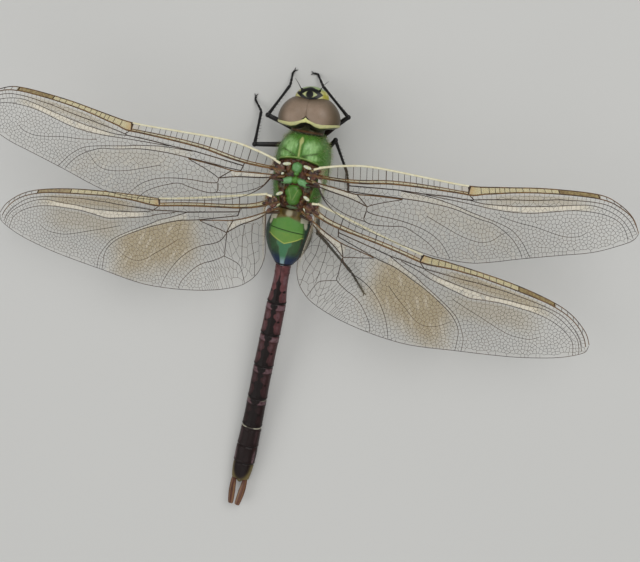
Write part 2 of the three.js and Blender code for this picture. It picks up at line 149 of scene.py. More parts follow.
# Domed plates of the back between the wings: (middle x and y, half sizes, height, turn in degrees). Each has
# its mirror image.
GREEN_PLATES = (
    ((0, 0.65), (0.96, 0.95), 1.0, 0),
    ((0, 1.75), (0.5, 0.5), 0.6, 0),
    ((0, 2.8), (0.62, 0.7), 0.85, 0),
    ((1.35, 3.1), (1.35, 0.62), 0.8, 16),
    ((0, 5.0), (1.55, 1.35), 0.95, 0),
    ((0, 6.15), (1.2, 1.15), 0.95, 0),
    ((0, 7.6), (1.1, 0.36), 0.75, 0),
)
BROWN_PLATES = (
    ((1.5, 0.75), (0.5, 1.1), 0.55, -12),
    ((0.0, -0.62), (0.5, 0.3), 0.45, 0),
    ((2.6, 0.7), (0.5, 0.7), 0.45, 12),
    ((1.95, 5.0), (0.42, 1.5), 0.6, -5),
    ((1.55, 6.5), (0.4, 0.7), 0.5, 10),
    ((2.75, 2.6), (0.4, 0.6), 0.4, 0),
    ((2.6, 4.3), (0.45, 0.6), 0.45, 0),
)
SIDE_SEAMS = (((0.9, 2.9), (-2.0, -4.6)), ((5.4, 2.3), (2.6, -4.3)))  # (y, z) at the top and at the bottom
KNOBS = (  # place, half sizes, turn about Z in degrees
    ((1.8, 0.3, 4.3), (0.75, 0.3, 0.27), 12),
    ((2.5, 2.05, 3.95), (0.44, 0.27, 0.25), 8),
    ((2.4, 5.6, 3.45), (0.66, 0.3, 0.27), 28),
    ((2.6, 7.6, 3.05), (0.62, 0.35, 0.29), 30),
)

# Head, in its own frame.
EYE_AT = (2.0, 1.45, 0.6)
EYE_HALF = (3.3, 3.35, 3.7)
EYE_REAR = 2.85
# The rim behind the eyes: its front and its rear edge, as (distance from the middle, y).
RIM_FRONT = ((0, 1.7), (0.3, 2.0), (0.8, 2.25), (1.7, 2.55), (2.7, 2.7), (3.8, 2.6), (4.8, 2.5), (7, 2.5))
RIM_REAR = ((0, 2.5), (0.8, 2.68), (1.7, 3.12), (2.7, 3.32), (3.8, 3.18), (4.8, 2.98), (7, 2.95))
FACE = {
    "frons": ((-0.15, -1.65, 0.6), (2.95, 2.0, 1.65)),
    "clypeus": ((0, -1.35, -0.95), (2.45, 1.7, 1.2)),
    "labrum": ((0, -0.95, -2.15), (2.1, 1.5, 1.0)),
    "labium": ((0, 0.55, -2.75), (2.7, 2.1, 1.2)),
}
EYESPOT = (0.05, -2.25)  # the middle of the dark spot on the frons, from above
ANTENNA = ((1.45, -2.75, 1.45), (1.8, -3.3, 1.9), (2.3, -4.05, 1.95), (2.9, -4.7, 1.5))
ANTENNA_RADII = (0.12, 0.07, 0.045, 0.03)

# Abdomen: the line of its middle, and each segment's length with its (half-width, half-height) at the
# front, middle and rear.
ABDOMEN_LINE = (
    (0.3, -16.5, 7.95),
    (0.35, -6.2, 7.2),
    (0.65, 3.5, 5.85),
    (1.2, 13.0, 4.4),
    (1.6, 23.0, 2.9),
    (2.05, 31.5, 1.95),
    (2.27, 35.35, 1.82),
)
SEGMENTS = (
    (2.1, (2.8, 2.7), (3.25, 2.9), (3.8, 3.05)),
    (7.9, (3.8, 3.05), (3.85, 2.95), (1.4, 1.6)),
    (7.0, (1.4, 1.6), (1.35, 1.4), (1.75, 1.55)),
    (5.95, (1.75, 1.55), (1.75, 1.5), (1.8, 1.55)),
    (6.05, (1.8, 1.55), (1.75, 1.5), (1.8, 1.55)),
    (6.3, (1.8, 1.55), (1.75, 1.5), (1.8, 1.55)),
    (5.5, (1.8, 1.55), (1.8, 1.5), (1.85, 1.55)),
    (3.9, (1.85, 1.55), (1.9, 1.6), (1.95, 1.65)),
    (3.4, (1.95, 1.65), (2.0, 1.7), (1.95, 1.6)),
    (3.2, (1.92, 1.6), (1.85, 1.45), (1.6, 1.2)),
)
CARINATE = range(2, 8)  # the segments with a transverse ridge, counted from 0
ABDOMEN_CAP = 0.006  # the share of the shell's rows that closes each end
# Half-width in mm of the dark figure down the middle of a segment, at each share of its length.
FIGURE = (
    (0, 0.62), (0.1, 0.58), (0.17, 0.3), (0.24, 0.42), (0.29, 0.44), (0.36, 0.2), (0.44, 0.32), (0.53, 0.78),
    (0.6, 0.66), (0.68, 0.5), (0.82, 0.62), (1, 1.2),
)
FIRST_FIGURE = (
    (0, 0), (0.14, 0.03), (0.3, 0.07), (0.4, 0.16), (0.47, 0.5), (0.53, 0.34), (0.6, 0.3), (0.68, 0.72),
    (0.78, 0.5), (0.9, 0.62), (1, 1.1),
)
ABDOMEN_MARKS = (
    "brown", "cream", "green", "lime", "yellow", "teal", "sky", "slate", "navy", "wash", "haze", "ring",
    "deep", "olive", "black",
)
CERCUS_RINGS = (
    (0.05, 1.04, 0.42, 0.34),
    (1.2, 1.02, 0.54, 0.28),
    (2.7, 0.9, 0.62, 0.22),
    (4.0, 0.76, 0.58, 0.19),
    (4.95, 0.66, 0.5, 0.16),
    (5.28, 0.65, 0.38, 0.12),
)
CERCUS_LIFT = 0.25
END_PLATES = (  # how far across and up from the end of the abdomen's line, and half sizes
    (0, 0.15, (0.62, 0.75, 0.32)),
    (0.5, -0.35, (0.5, 0.62, 0.4)),
    (-0.5, -0.35, (0.5, 0.62, 0.4)),
)
OVIPOSITOR = {"from": 0.868, "to": 0.93, "half": (0.42, 0.6), "drop": 1.45}

# Legs, in the floor's frame.
LEGS = {
    "fore_left": ((1.7, -29.6, 4.1), (8.05, -31.5, 6.2), (5.9, -37.45, 2.0), (6.2, -39.8, 0.2),
        (5.95, -40.15, 0.18)),
    "fore_right": ((-1.7, -29.6, 4.1), (-6.0, -33.6, 5.6), (-0.05, -38.2, 2.0), (1.65, -40.3, 0.2),
        (2.35, -40.3, 0.18)),
    "middle_left": ((1.9, -27.4, 3.7), (9.5, -26.05, 6.2), (10.35, -32.0, 1.8), (12.2, -33.9, 0.2),
        (12.2, -34.4, 0.18)),
    "middle_right": ((-1.9, -25.6, 3.6), (-4.5, -29.3, 5.4), (-7.0, -23.9, 1.3), (-7.5, -21.6, 0.2),
        (-7.6, -21.0, 0.18)),
    "hind_left": ((1.8, -22.6, 3.5), (3.5, -12.9, 4.2), (1.7, -4.4, 1.2), (1.4, -1.3, 0.2),
        (1.35, -0.7, 0.18)),
    "hind_right": ((-1.8, -22.6, 3.5), (-4.3, -12.6, 4.3), (-11.1, -6.5, 1.2), (-13.4, -3.7, 0.2),
        (-13.8, -3.2, 0.18)),
}
COXA = (0.95, 0.85, 0.95)
FEMUR_RADII = (0.5, 0.58, 0.5, 0.44, 0.42, 0.4)
TIBIA_RADII = (0.32, 0.26, 0.24, 0.25, 0.29)
TARSUS_RADII = (0.24, 0.22, 0.2, 0.19)  # one for each link
SPINE_RADII = (0.055, 0.01)
HAIR_RADII = (0.014, 0.004)

# Wings. The outline and the veins are (outward, backward) from the wing's root.
WINGS = {
    "forewing": {
        "root": (3.8, 0, 4.15),
        "sweep": {LEFT: -5.2, RIGHT: -5.2},
        "rise": {LEFT: 4.6, RIGHT: 3.0},
        "lead": ((0, 0), (4, -0.7), (9, -1.0), (18, -0.15), (25.5, 0.55), (31, 0.25), (38, -0.25),
            (46, -0.15), (49.4, 1.0), (51.9, 3.0), (53.1, 5.4)),
        "trail": ((53.1, 5.5), (52.5, 6.5), (51.0, 7.4), (46.5, 9.2), (41.3, 10.3), (35.5, 11.5),
            (30, 12.75), (26.5, 13.2), (21, 12.8), (15, 11.4), (10, 10.0), (6, 8.7), (3.2, 7.1),
            (1.3, 5.3), (0.2, 3.4), (0, 3.3)),
        "node": 25.5,
        "stigma": (40.0, 46.3),
        "antenodals": (1.6, 3.2, 4.6, 5.9, 7.1, 8.2, 9.2, 10.2, 11.5, 12.6, 13.6, 14.6, 15.6, 16.6, 17.6,
            18.6, 19.6, 20.6, 22.0, 23.0, 24.3),
        "postnodals": (27.4, 28.7, 29.7, 30.4, 31.2, 32.0, 33.0, 34.1, 35.2, 36.4, 37.6, 38.7, 47.4,
            48.6, 49.7, 50.7),
        "thick": (4.6, 11.5),
        "press": 0.85,
        "amber": (("radius", (0.2, 2.4), (28, 46), 0.4), ("media", (0.0, 3.8), (17, 34), 0.16)),
    },
    "hindwing": {
        "root": (4.46, 6.1, 3.3),
        "sweep": {LEFT: 9.9, RIGHT: 11.6},
        "rise": {LEFT: -3.9, RIGHT: -0.9},
        "lead": ((0, 0), (7, 0.5), (13.5, 0.95), (19.9, 1.15), (24, 0.7), (30, 0.15), (36.5, -0.2),
            (42.5, 0), (46.5, 0.8), (49.8, 2.6), (51.3, 4.4)),
        "trail": ((51.3, 4.6), (51, 6.0), (47.5, 8.4), (42, 10.8), (37, 12.5), (31, 14.3), (26, 15.85),
            (22, 16.75), (16.5, 17.25), (11, 17.2), (7, 16.65), (4.3, 15.8), (1.9, 13.9), (0.5, 10.8),
            (0.45, 7), (0.3, 3.4), (0, 3.3)),
        "node": 19.9,
        "stigma": (36.9, 43.4),
        "antenodals": (1.9, 3.5, 5.0, 6.3, 7.5, 8.8, 10.1, 11.4, 12.8, 14.3, 15.8, 17.2, 18.6),
        "postnodals": (21.6, 22.8, 23.9, 25.0, 26.1, 27.2, 28.3, 29.4, 30.5, 31.6, 32.8, 34.1, 35.4,
            44.6, 45.8, 47.0, 48.1, 49.2),
        "thick": (5.0, 11.4),
        "press": 0.55,
        "amber": (
            ("media", (-0.2, 9.2), (12.5, 30), 0.6),
            ("radius", (0.2, 2.8), (24, 44), 0.5),
            ("between", (0.1, 4.6), (26, 43), 0.3),
        ),
    },
}

# Veins: radius at the root and at the end in mm, how far the vein is a ridge (+) or a furrow (-), its line.
FOREWING_VEINS = {
    "subcosta": (0.1, 0.08, -0.13, ((0, 1.2), (2, 1.4), (5, 1.5), (8, 1.35), (12, 1.0), (16, 1.0),
        (20, 1.2), (24, 1.5), (25.5, 1.6))),
    "radius": (0.17, 0.07, 0.16, ((0, 1.5), (2, 1.75), (5, 1.9), (8, 1.85), (12, 1.5), (16, 1.5),
        (20, 1.65), (24, 1.85), (26.3, 2.0), (28, 1.65), (30, 1.35), (33, 0.9), (36, 0.6), (40, 0.4),
        (44, 0.4), (46.5, 0.55), (48.5, 1.0), (50.3, 1.9), (51.8, 3.0), (52.7, 4.5))),
    "subnode": (0.08, 0.08, 0, ((25.6, 1.95), (26.5, 2.75))),
    "arculus": (0.1, 0.1, 0, ((5.1, 2.0), (5.4, 3.5))),
    "sector_1": (0.1, 0.05, -0.12, ((5.2, 2.5), (8, 2.45), (12, 2.4), (14.3, 2.4), (18, 2.6), (22, 2.65),
        (25.5, 2.85), (26.5, 2.75), (28, 2.55), (30, 2.35), (32, 2.15), (34, 2.0), (36, 1.85), (38, 1.6),
        (40, 1.35), (42, 1.25), (44, 1.15), (46, 1.2), (48, 1.5), (50, 2.4), (51.6, 3.7), (52.6, 5.2))),
    "sector_2": (0.07, 0.045, -0.08, ((25.8, 2.85), (28, 3.2), (31, 3.2), (34, 3.05), (37, 2.75),
        (40, 2.35), (43, 1.9), (45.5, 1.75), (48, 2.3), (50, 3.3), (51.5, 4.8), (52.3, 6.2))),
    "between": (0.07, 0.045, 0.1, ((18.5, 2.7), (21, 2.95), (24, 3.25), (27, 3.6), (30, 3.95), (33, 4.1),
        (36, 3.95), (39, 3.45), (42, 2.9), (45, 2.75), (48, 3.1), (50, 4.0), (51, 5.2), (51.6, 6.6))),
    "sector_3": (0.07, 0.045, -0.06, ((14.3, 2.5), (18, 2.85), (20, 3.15), (22, 3.6), (24, 4.1),
        (26, 4.75), (28, 5.3), (30, 5.85), (32, 6.5), (33.5, 7.3), (35, 8.8), (36, 10.3), (36.6, 11.2))),
    "media": (0.09, 0.045, 0.08, ((5.4, 3.4), (8, 3.55), (12, 3.6), (14.5, 3.7), (18, 3.85), (20, 4.05),
        (22, 4.3), (24, 4.7), (26, 5.3), (28, 5.85), (30, 6.3), (32, 7.4), (33.5, 8.6), (34.8, 10.3),
        (35.3, 11.4))),
    "spur_outer": (0.05, 0.04, 0, ((31, 5.0), (34, 5.7), (37, 6.15), (40, 6.9), (42, 7.2), (44, 6.9),
        (45, 6.2))),
    "spur_inner": (0.05, 0.04, 0, ((19, 6.2), (22, 7.6), (25, 8.9), (28, 9.6), (30, 9.2), (31.5, 8.0),
        (32.8, 7.3))),
    "stem_upper": (0.12, 0.09, 0.1, ((0, 2.6), (4, 3.3), (5.4, 3.6), (6.9, 3.8), (10, 3.75), (14.7, 3.85))),
    "stem_lower": (0.12, 0.09, -0.08, ((0, 3.1), (2, 3.7), (5, 4.4), (7, 5.0), (8.8, 5.7))),
    "triangle_inner": (0.09, 0.09, 0, ((6.9, 3.8), (7.8, 4.7), (8.8, 5.7))),
    "triangle_outer": (0.08, 0.07, 0, ((8.8, 5.7), (10, 5.2), (12, 4.6), (14.7, 3.9))),
    "rear_media": (0.08, 0.045, -0.06, ((8.8, 5.7), (8.9, 6.5), (10.5, 6.95), (13, 7.2), (15.5, 7.6),
        (18, 8.25), (20, 9.1), (22, 10.6), (23.6, 12.9))),
    "cubitus": (0.08, 0.045, 0.06, ((8.7, 6.5), (8.5, 8.0), (10, 8.6), (13, 8.55), (15.2, 8.4),
        (17, 9.1), (19, 10.2), (20.6, 11.4), (21.6, 12.8))),
    "anal": (0.07, 0.05, 0, ((8.6, 8.2), (6, 7.6), (4, 6.8), (2, 5.6), (0.5, 4.2))),
}
HINDWING_VEINS = {
    "subcosta": (0.1, 0.08, -0.13, ((0, 1.0), (2, 1.6), (4, 1.85), (8, 1.95), (12, 1.85), (16, 1.85),
        (19.8, 2.0))),
    "radius": (0.17, 0.07, 0.16, ((0, 1.9), (3, 2.4), (6, 2.5), (8, 2.45), (12, 2.35), (16, 2.35),
        (20, 2.45), (22, 2.2), (24, 1.75), (26, 1.4), (28, 1.15), (30, 0.9), (32, 0.8), (36, 0.63),
        (40, 0.55), (43, 0.65), (46, 1.2), (48.3, 2.2), (50, 3.6), (50.9, 4.9))),
    "subnode": (0.08, 0.08, 0, ((19.9, 2.45), (21.1, 3.3))),
    "arculus": (0.1, 0.1, 0, ((4.9, 2.5), (5.4, 3.9))),
    "sector_1": (0.1, 0.05, -0.12, ((5.2, 3.2), (8, 3.3), (12, 3.4), (14.7, 3.5), (18, 3.35), (20, 3.3),
        (21.2, 3.25), (24, 2.9), (26, 2.65), (28, 2.4), (30, 2.05), (32, 1.85), (34, 1.6), (36, 1.45),
        (40, 1.3), (43, 1.35), (45.5, 1.7), (47.8, 2.8), (49.6, 4.3), (50.6, 5.9))),
    "sector_2": (0.07, 0.045, -0.08, ((21.2, 3.4), (24, 3.65), (27, 3.65), (30, 3.5), (33, 3.25),
        (36, 2.7), (39, 2.3), (42, 1.8), (44.5, 2.1), (47, 3.0), (49, 4.2), (50, 5.6), (50.3, 6.5))),
    "between": (0.07, 0.045, 0.1, ((17, 3.6), (20, 3.95), (22, 4.4), (24, 4.6), (26, 4.75), (28, 4.85),
        (30, 4.9), (32, 4.4), (35, 3.65), (38, 3.25), (41, 2.95), (44, 3.1), (46.5, 3.8), (48.5, 5.0),
        (49.3, 6.5), (49.5, 7.1))),
    "sector_3": (0.07, 0.045, -0.06, ((14.7, 3.5), (16, 3.9), (18, 4.5), (20, 5.0), (22, 5.8), (24, 6.5),
        (26, 7.25), (28, 8.1), (29.5, 9.0), (31, 10.7), (31.8, 12.0), (32.2, 13.9))),
    "media": (0.09, 0.045, 0.08, ((5.4, 3.9), (8, 4.2), (12, 4.7), (14, 4.85), (16, 4.95), (18, 5.3),
        (20, 5.8), (22, 6.3), (24, 6.95), (26, 7.7), (28, 8.6), (29.5, 9.7), (30.5, 11), (31, 13),
        (31.2, 14.2))),
    "spur_outer": (0.05, 0.04, 0, ((27.5, 6.2), (30, 6.7), (33, 7.2), (36, 7.75), (38.5, 8.05),
        (40.5, 7.8), (42, 7.4), (43.2, 6.5))),
    "spur_inner": (0.05, 0.04, 0, ((16.5, 8.3), (18.5, 9.6), (21, 11.0), (23, 12.1), (25, 12.3),
        (27, 11.4), (28.6, 9.9))),
    "stem_upper": (0.12, 0.09, 0.1, ((0, 3.0), (3, 4.0), (6.2, 4.7), (9, 4.75), (12.4, 4.85))),
    "stem_lower": (0.12, 0.09, -0.08, ((0, 3.3), (2, 4.4), (5, 5.5), (7.5, 6.9))),
    "triangle_inner": (0.09, 0.09, 0, ((6.2, 4.7), (6.9, 5.8), (7.5, 6.9))),
    "triangle_outer": (0.08, 0.07, 0, ((7.5, 6.9), (8.8, 6.3), (10.5, 5.7), (12.4, 4.9))),
    "rear_media": (0.08, 0.045, -0.06, ((7.45, 7.0), (8.6, 8.3), (10, 8.9), (12, 9.3), (14, 10.1),
        (16, 11.5), (18, 13.6), (19.4, 15.8), (19.9, 16.9))),
    "cubitus": (0.08, 0.045, 0.06, ((7.4, 7.0), (7.6, 8.5), (7.8, 10), (8.0, 11.0), (10, 11.9),
        (11.5, 12.3), (13, 13), (14.5, 14.2), (16, 15.8), (16.6, 17.1))),
    "fork": (0.06, 0.045, 0, ((8.0, 11.0), (5.5, 12.2), (4.8, 13.3), (4.2, 15.6))),
    "fan_inner": (0.05, 0.04, 0, ((2.6, 5.0), (2.9, 8), (2.4, 11.5), (2.4, 14.3))),
    "fan_outer": (0.05, 0.04, 0, ((4.2, 5.5), (4.6, 8.5), (4.7, 12.9))),
}
# Opacity that each mask adds to the film; the streaks are a painted reflection.
FILM_ALPHA = (("amber", 0.42), ("streak", 0.07), ("front", 0.4), ("knot", 0.2), ("base", 0.6),
    ("pouch", 0.6))
WINGS["forewing"]["veins"] = FOREWING_VEINS
WINGS["hindwing"]["veins"] = HINDWING_VEINS

# ---- Properties: the colours and sizes that a user would change ----


def colour(name, description, code):
    return bpy.props.FloatVectorProperty(
        name=name, description=description, subtype="COLOR", size=3, min=0, max=1, default=paint(code)
    )


def length(name, description, millimetres):
    return bpy.props.FloatProperty(
        name=name, description=description, unit="LENGTH", min=0, precision=5, default=millimetres * MM
    )


class DragonflyBodyColours(bpy.types.PropertyGroup):
    """Colours of the thorax, neck, head and legs."""

    green: colour("Thorax green", "Shell of the thorax", 0x4E822E)
    # Darker green of the shell's mottling and rear plates, and the painted shade on its sides.
    green_deep: colour("Thorax deep green", "Sides of the thorax", 0x406620)
    # Painted highlight: this pale green is laid over the facets beside the ridge of the thorax; the down
    # takes it as a pale tint.
    green_bright: colour("Thorax pale green", "Facets beside the ridge of the thorax", 0x8FB874)
    # Also the painted highlight on the middle of the scutum's dome.
    green_blue: colour("Plate blue-green", "Plates of the back between the wings", 0x6A9A66)
    ridge: colour("Ridge", "Ridges of the thorax", 0xB2B674)
    pit: colour("Pit brown", "Membrane between the plates of the back", 0x6B4024)
    # Also the painted shadow in the creases of the back.
    pit_dark: colour("Pit dark", "Deepest folds of the back", 0x2A170C)
    ochre: colour("Ochre", "Pale patches of the membrane between the plates", 0x86703A)
    ash: colour("Rear band", "Band behind the last plate of the back", 0x4E5A42)
    knob: colour("Wing knob", "Pearly knobs at the wing roots", 0xC9CBB8)
    neck: colour("Neck", "Shell of the neck", 0x3C3C22)
    eye_top: colour("Eye top", "Upper facets of the eyes", 0x8F7B69)
    # Dark facets of the eye, and the painted shade toward the eye's rim and front.
    eye_edge: colour("Eye edge", "Facets along the rim of the eyes", 0x4D3F2A)
    eye_low: colour("Eye underside", "Lower facets of the eyes", 0x74783A)
    rim: colour("Rim", "Pale rim behind the eyes", 0xBDB982)
    rim_bright: colour("Rim middle", "Triangle in the middle of the rim", 0xD8D68E)
    nape: colour("Nape", "Back of the head", 0x15130C)
    face: colour("Face", "Yellow-green of the face", 0x9C962F)
    face_green: colour("Face green", "Green front of the face", 0x8DA06F)
    mask: colour("Face mark", "Black marks of the face", 0x060605)
    leg: colour("Leg", "Shins and feet", 0x14110F)
    thigh: colour("Thigh", "Thighs near the body", 0x2B1A14)
    down: colour("Down", "Fine hair of the thorax", 0xA99C72)


class DragonflyTailColours(bpy.types.PropertyGroup):
    """Colours of the abdomen and its end."""

    saddle: colour("Saddle brown", "First segment of the abdomen", 0x5F4A1C)
    cream: colour("Cream", "Pale corners of the first segment", 0xC4C0A8)
    green: colour("Green", "Front of the second segment", 0x51803A)
    lime: colour("Lime", "Middle of the second segment", 0x69893F)
    yellow: colour("Yellow", "Line across the second segment", 0xB0B45A)
    teal: colour("Teal", "Stripe of the second segment", 0x416F4E)
    sky: colour("Pale blue", "End of that stripe", 0x7F969C)
    slate: colour("Slate", "Flanks of the second segment", 0x29322D)
    navy: colour("Dark blue", "Rear of the second segment", 0x1E2B44)
    rust: colour("Rust", "Ground colour of the middle segments", 0x663D3E)
    rust_dark: colour("Dark rust", "Ground colour of the last segments", 0x2A1614)
    black: colour("Black", "Dark pattern of the abdomen", 0x120806)
    haze: colour("Haze", "Pale bands at the front of each segment", 0x6B5256)
    olive: colour("Olive", "Sides of the last segment", 0x6A5F3A)
    blade: colour("Cercus", "Brown of the two end blades", 0x5C3322)
    # Also the painted highlight near the blades' tips.
    blade_tan: colour("Cercus tan", "Tan inner sides of the end blades", 0x866741)


class DragonflyWingColours(bpy.types.PropertyGroup):
    """Colours of the wings."""

    film: colour("Film", "Clear membrane", 0xC2BDA8)
    amber: colour("Amber", "Tint of the outer membrane", 0x9C7F22)
    # Painted reflection in the pale bands and streaks of the membrane, and the milky film by the wing's root.
    pale: colour("Pale film", "Milky bands of the membrane", 0xE6DCC6)
    vein: colour("Vein", "Cross-veins and cells", 0x241813)
    vein_gold: colour("Golden vein", "Main veins near the front edge", 0x6E4E26)
    costa: colour("Front edge", "Cream front edge up to the node", 0xDDD8BC)
    costa_gold: colour("Outer front edge", "Front edge past the node", 0xC9B97E)
    node: colour("Node", "Orange-brown patches by the node", 0xBE9660)
    pouch: colour("Membranule", "Pale grey skin at the rear of a wing's root", 0xA5A299)
    stigma: colour("Wing cell", "Tan cell near each wing tip", 0x735E3C)
    root: colour("Wing root", "Plates at the wing roots", 0x5E3826)


class DragonflySizes(bpy.types.PropertyGroup):
    """Sizes that don't change the outline."""

    film: length("Film thickness", "Thickness of a wing's membrane", 0.02)
    cell_vein: length("Cell veins", "Radius of the finest veins", 0.024)
    cross_vein: length("Cross-veins", "Radius of the cross-veins between main veins", 0.045)
    spine: length("Spines", "Length of the spines of a shin", 0.95)
    down: length("Down", "Length of the hair of the thorax", 0.75)
    hairs: bpy.props.IntProperty(
        name="Hairs", description="Places tried for a hair on the thorax", min=0, default=5200
    )


def chosen(group):
    return getattr(bpy.context.scene, "dragonfly_" + group)


# ---- Materials ----


class Finish:
    """Builds the nodes of one material. Sockets and plain numbers mix freely as arguments."""

    def __init__(self, name, **settings):
        self.material = bpy.data.materials.new(name)
        self.material.use_nodes = True
        self.tree = self.material.node_tree
        self.shader = self.tree.nodes["Principled BSDF"]
        self.place = self.node("ShaderNodeTexCoord", 3)
        settings = {"Specular_IOR_Level": 0.28, **settings}
        for socket, value in settings.items():
            self.put(self.shader.inputs[socket.replace("_", " ")], value)

    def put(self, socket, value):
        if isinstance(value, bpy.types.NodeSocket):
            self.tree.links.new(value, socket)
        elif socket.type == "RGBA":
            socket.default_value = (*value, 1)
        else:
            socket.default_value = value

    def node(self, kind, output, inputs=(), **settings):
        made = self.tree.nodes.new(kind)
        for key, value in settings.items():
            setattr(made, key, value)
        for key, value in dict(inputs).items():
            self.put(made.inputs[key], value)
        return made.outputs[output]

    def math(self, operation, a, b=0.0, clamp=False):
        return self.node("ShaderNodeMath", 0, {0: a, 1: b}, operation=operation, use_clamp=clamp)

    def times(self, a, b, clamp=False):
        return self.math("MULTIPLY", a, b, clamp)

    def plus(self, a, b, clamp=False):
        return self.math("ADD", a, b, clamp)

    def mix(self, share, a, b):
        inputs = {0: share, 6: a, 7: b}
        return self.node("ShaderNodeMix", 2, inputs, data_type="RGBA", clamp_factor=True)

    def span(self, value, low, high, start=0.0, end=1.0):
        """`value` taken smoothly from the range low..high to the range start..end."""
        inputs = {0: value, 1: low, 2: high, 3: start, 4: end}
        return self.node("ShaderNodeMapRange", 0, inputs, interpolation_type="SMOOTHSTEP")

    def noise(self, size, detail=3.0, roughness=0.55, stretch=None):
        """Smooth noise with features `size` mm across."""
        place = self.place
        if stretch:
            place = self.node("ShaderNodeMapping", 0, {0: place, 3: stretch})
        inputs = {"Vector": place, "Scale": 1 / (size * MM), "Detail": detail, "Roughness": roughness}
        return self.node("ShaderNodeTexNoise", 0, inputs)

    def cloud(self, size, detail, low, high, start=0.0, end=1.0, stretch=None):
        """Noise whose range low..high is taken to the range start..end."""
        return self.span(self.noise(size, detail, stretch=stretch), low, high, start, end)

    def cells(self, size):
        inputs = {"Vector": self.place, "Scale": 1 / (size * MM)}
        return self.node("ShaderNodeTexVoronoi", 0, inputs)

    def mark(self, name, share=None):
        """A mask that the mesh carries, or a share of it."""
        mask = self.node("ShaderNodeAttribute", 2, attribute_name=name)
        return mask if share is None else self.times(mask, share)

    def over(self, colour, *layers):
        """Lays (mask, colour) pairs over a colour, one after another. A mask may be a mark's name."""
        for mask, above in layers:
            colour = self.mix(self.mark(mask) if isinstance(mask, str) else mask, colour, above)
        return colour

    def bump(self, height, depth, strength=1.0):
        """Raises the surface by `depth` mm where `height` is 1."""
        inputs = {"Height": height, "Distance": depth * MM, "Strength": strength}
        self.put(self.shader.inputs["Normal"], self.node("ShaderNodeBump", 0, inputs))

    def done(self, colour, **settings):
        self.put(self.shader.inputs["Base Color"], colour)
        for socket, value in settings.items():
            self.put(self.shader.inputs[socket.replace("_", " ")], value)
        return self.material


# ---- Shapes ----


def blend(a, b, share):
    return a + (b - a) * share


def rise(value, low, high):
    """0 below low, 1 above high, and smooth between."""
    share = min(max((value - low) / (high - low), 0), 1)
    return share * share * (3 - 2 * share)


def band(value, middle, half, soft):
    """1 within `half` of the middle, fading over `soft`."""
    return 1 - rise(abs(value - middle), half - soft / 2, half + soft / 2)


def spot(x, y, middle, half, soft=0.3, turn=0):
    """1 inside an ellipse, fading over `soft` of its size."""
    return 1 - rise(reach(x, y, middle, half, turn), 1 - soft / 2, 1 + soft / 2)


def reach(x, y, middle, half, turn=0):
    """How far a point lies from the middle of an ellipse, 1 being its edge."""
    angle = math.radians(turn)
    dx, dy = x - middle[0], y - middle[1]
    across = dx * math.cos(angle) + dy * math.sin(angle)
    forward = dy * math.cos(angle) - dx * math.sin(angle)
    return math.hypot(across / half[0], forward / half[1])


def bell(value, width):
    return math.exp(-((value / width) ** 2))


def along(rows, share):
    """The row at `share`, from 0 to 1, of a smooth line through equally spaced rows."""
    place = min(max(share, 0), 1) * (len(rows) - 1)
    i = min(int(place), len(rows) - 2)
    t = place - i
    before, a, b, after = (rows[min(max(j, 0), len(rows) - 1)] for j in range(i - 1, i + 3))
    return tuple(
        q + t * (r - p + t * (2 * p - 5 * q + 4 * r - s + t * (3 * (q - r) + s - p))) / 2
        for p, q, r, s in zip(before, a, b, after)
    )


def smooth_line(points, steps=5):
    count = (len(points) - 1) * steps
    return [along(points, i / count) for i in range(count + 1)]


def squared(value, power):
    return math.copysign(abs(value) ** (2 / power), value)


def skin(bm, columns, rows, place, frame=FLOOR, marks=()):
    """Adds a surface whose edges are joined where they meet. place(turn, share) gives its points: turn runs
    round it from -1 to 1 with 0 on top, and share runs along it from 0 to 1. `marks` are masks, by name, as
    functions of turn, share and point."""
    sheet = bm.loops.layers.uv.get("Skin") or bm.loops.layers.uv.new("Skin")
    marks = dict(marks)
    layers = {name: bm.verts.layers.float.get(name) or bm.verts.layers.float.new(name) for name in marks}
    made = bmesh.ops.create_grid(bm, x_segments=columns, y_segments=rows, size=1)["verts"]
    for face in {face for vertex in made for face in vertex.link_faces}:
        for loop in face.loops:
            loop[sheet].uv = (loop.vert.co.x, (loop.vert.co.y + 1) / 2)
    for vertex in made:
        turn, share = vertex.co.x, (vertex.co.y + 1) / 2
        point = Vector(place(turn, share))
        for name, mark in marks.items():
            vertex[layers[name]] = mark(turn, share, point)
        vertex.co = (frame @ point) * MM
    bmesh.ops.remove_doubles(bm, verts=made, dist=WELD)
    joined = {face for vertex in made if vertex.is_valid for face in vertex.link_faces}
    bmesh.ops.recalc_face_normals(bm, faces=list(joined))


def loft(rings, power=2, lean=0, cap=0.05):
    """A place function for skin: rings of (y, middle height, half-width, half-height), with closed ends."""

    def place(turn, share):
        inner = (share - cap) / (1 - 2 * cap)
        y, height, wide, tall = along(rings, inner)
        closing = min(1, share / cap, (1 - share) / cap)
        angle = turn * math.pi
        x = squared(math.sin(angle), power) * wide * closing
        z = height + squared(math.cos(angle), power) * tall * closing
        return x, y + lean * z, z

    return place


def egg(middle, half, turn=0):
    """A place function for skin: an ellipsoid with its poles front and back, turned about Z in degrees."""
    angle = math.radians(turn)

    def place(turn, share):
        ring = math.sin(share * math.pi)
        x = math.sin(turn * math.pi) * ring * half[0]
        y = -math.cos(share * math.pi) * half[1]
        z = math.cos(turn * math.pi) * ring * half[2]
        return (
            middle[0] + x * math.cos(angle) - y * math.sin(angle),
            middle[1] + x * math.sin(angle) + y * math.cos(angle),
            middle[2] + z,
        )

    return place


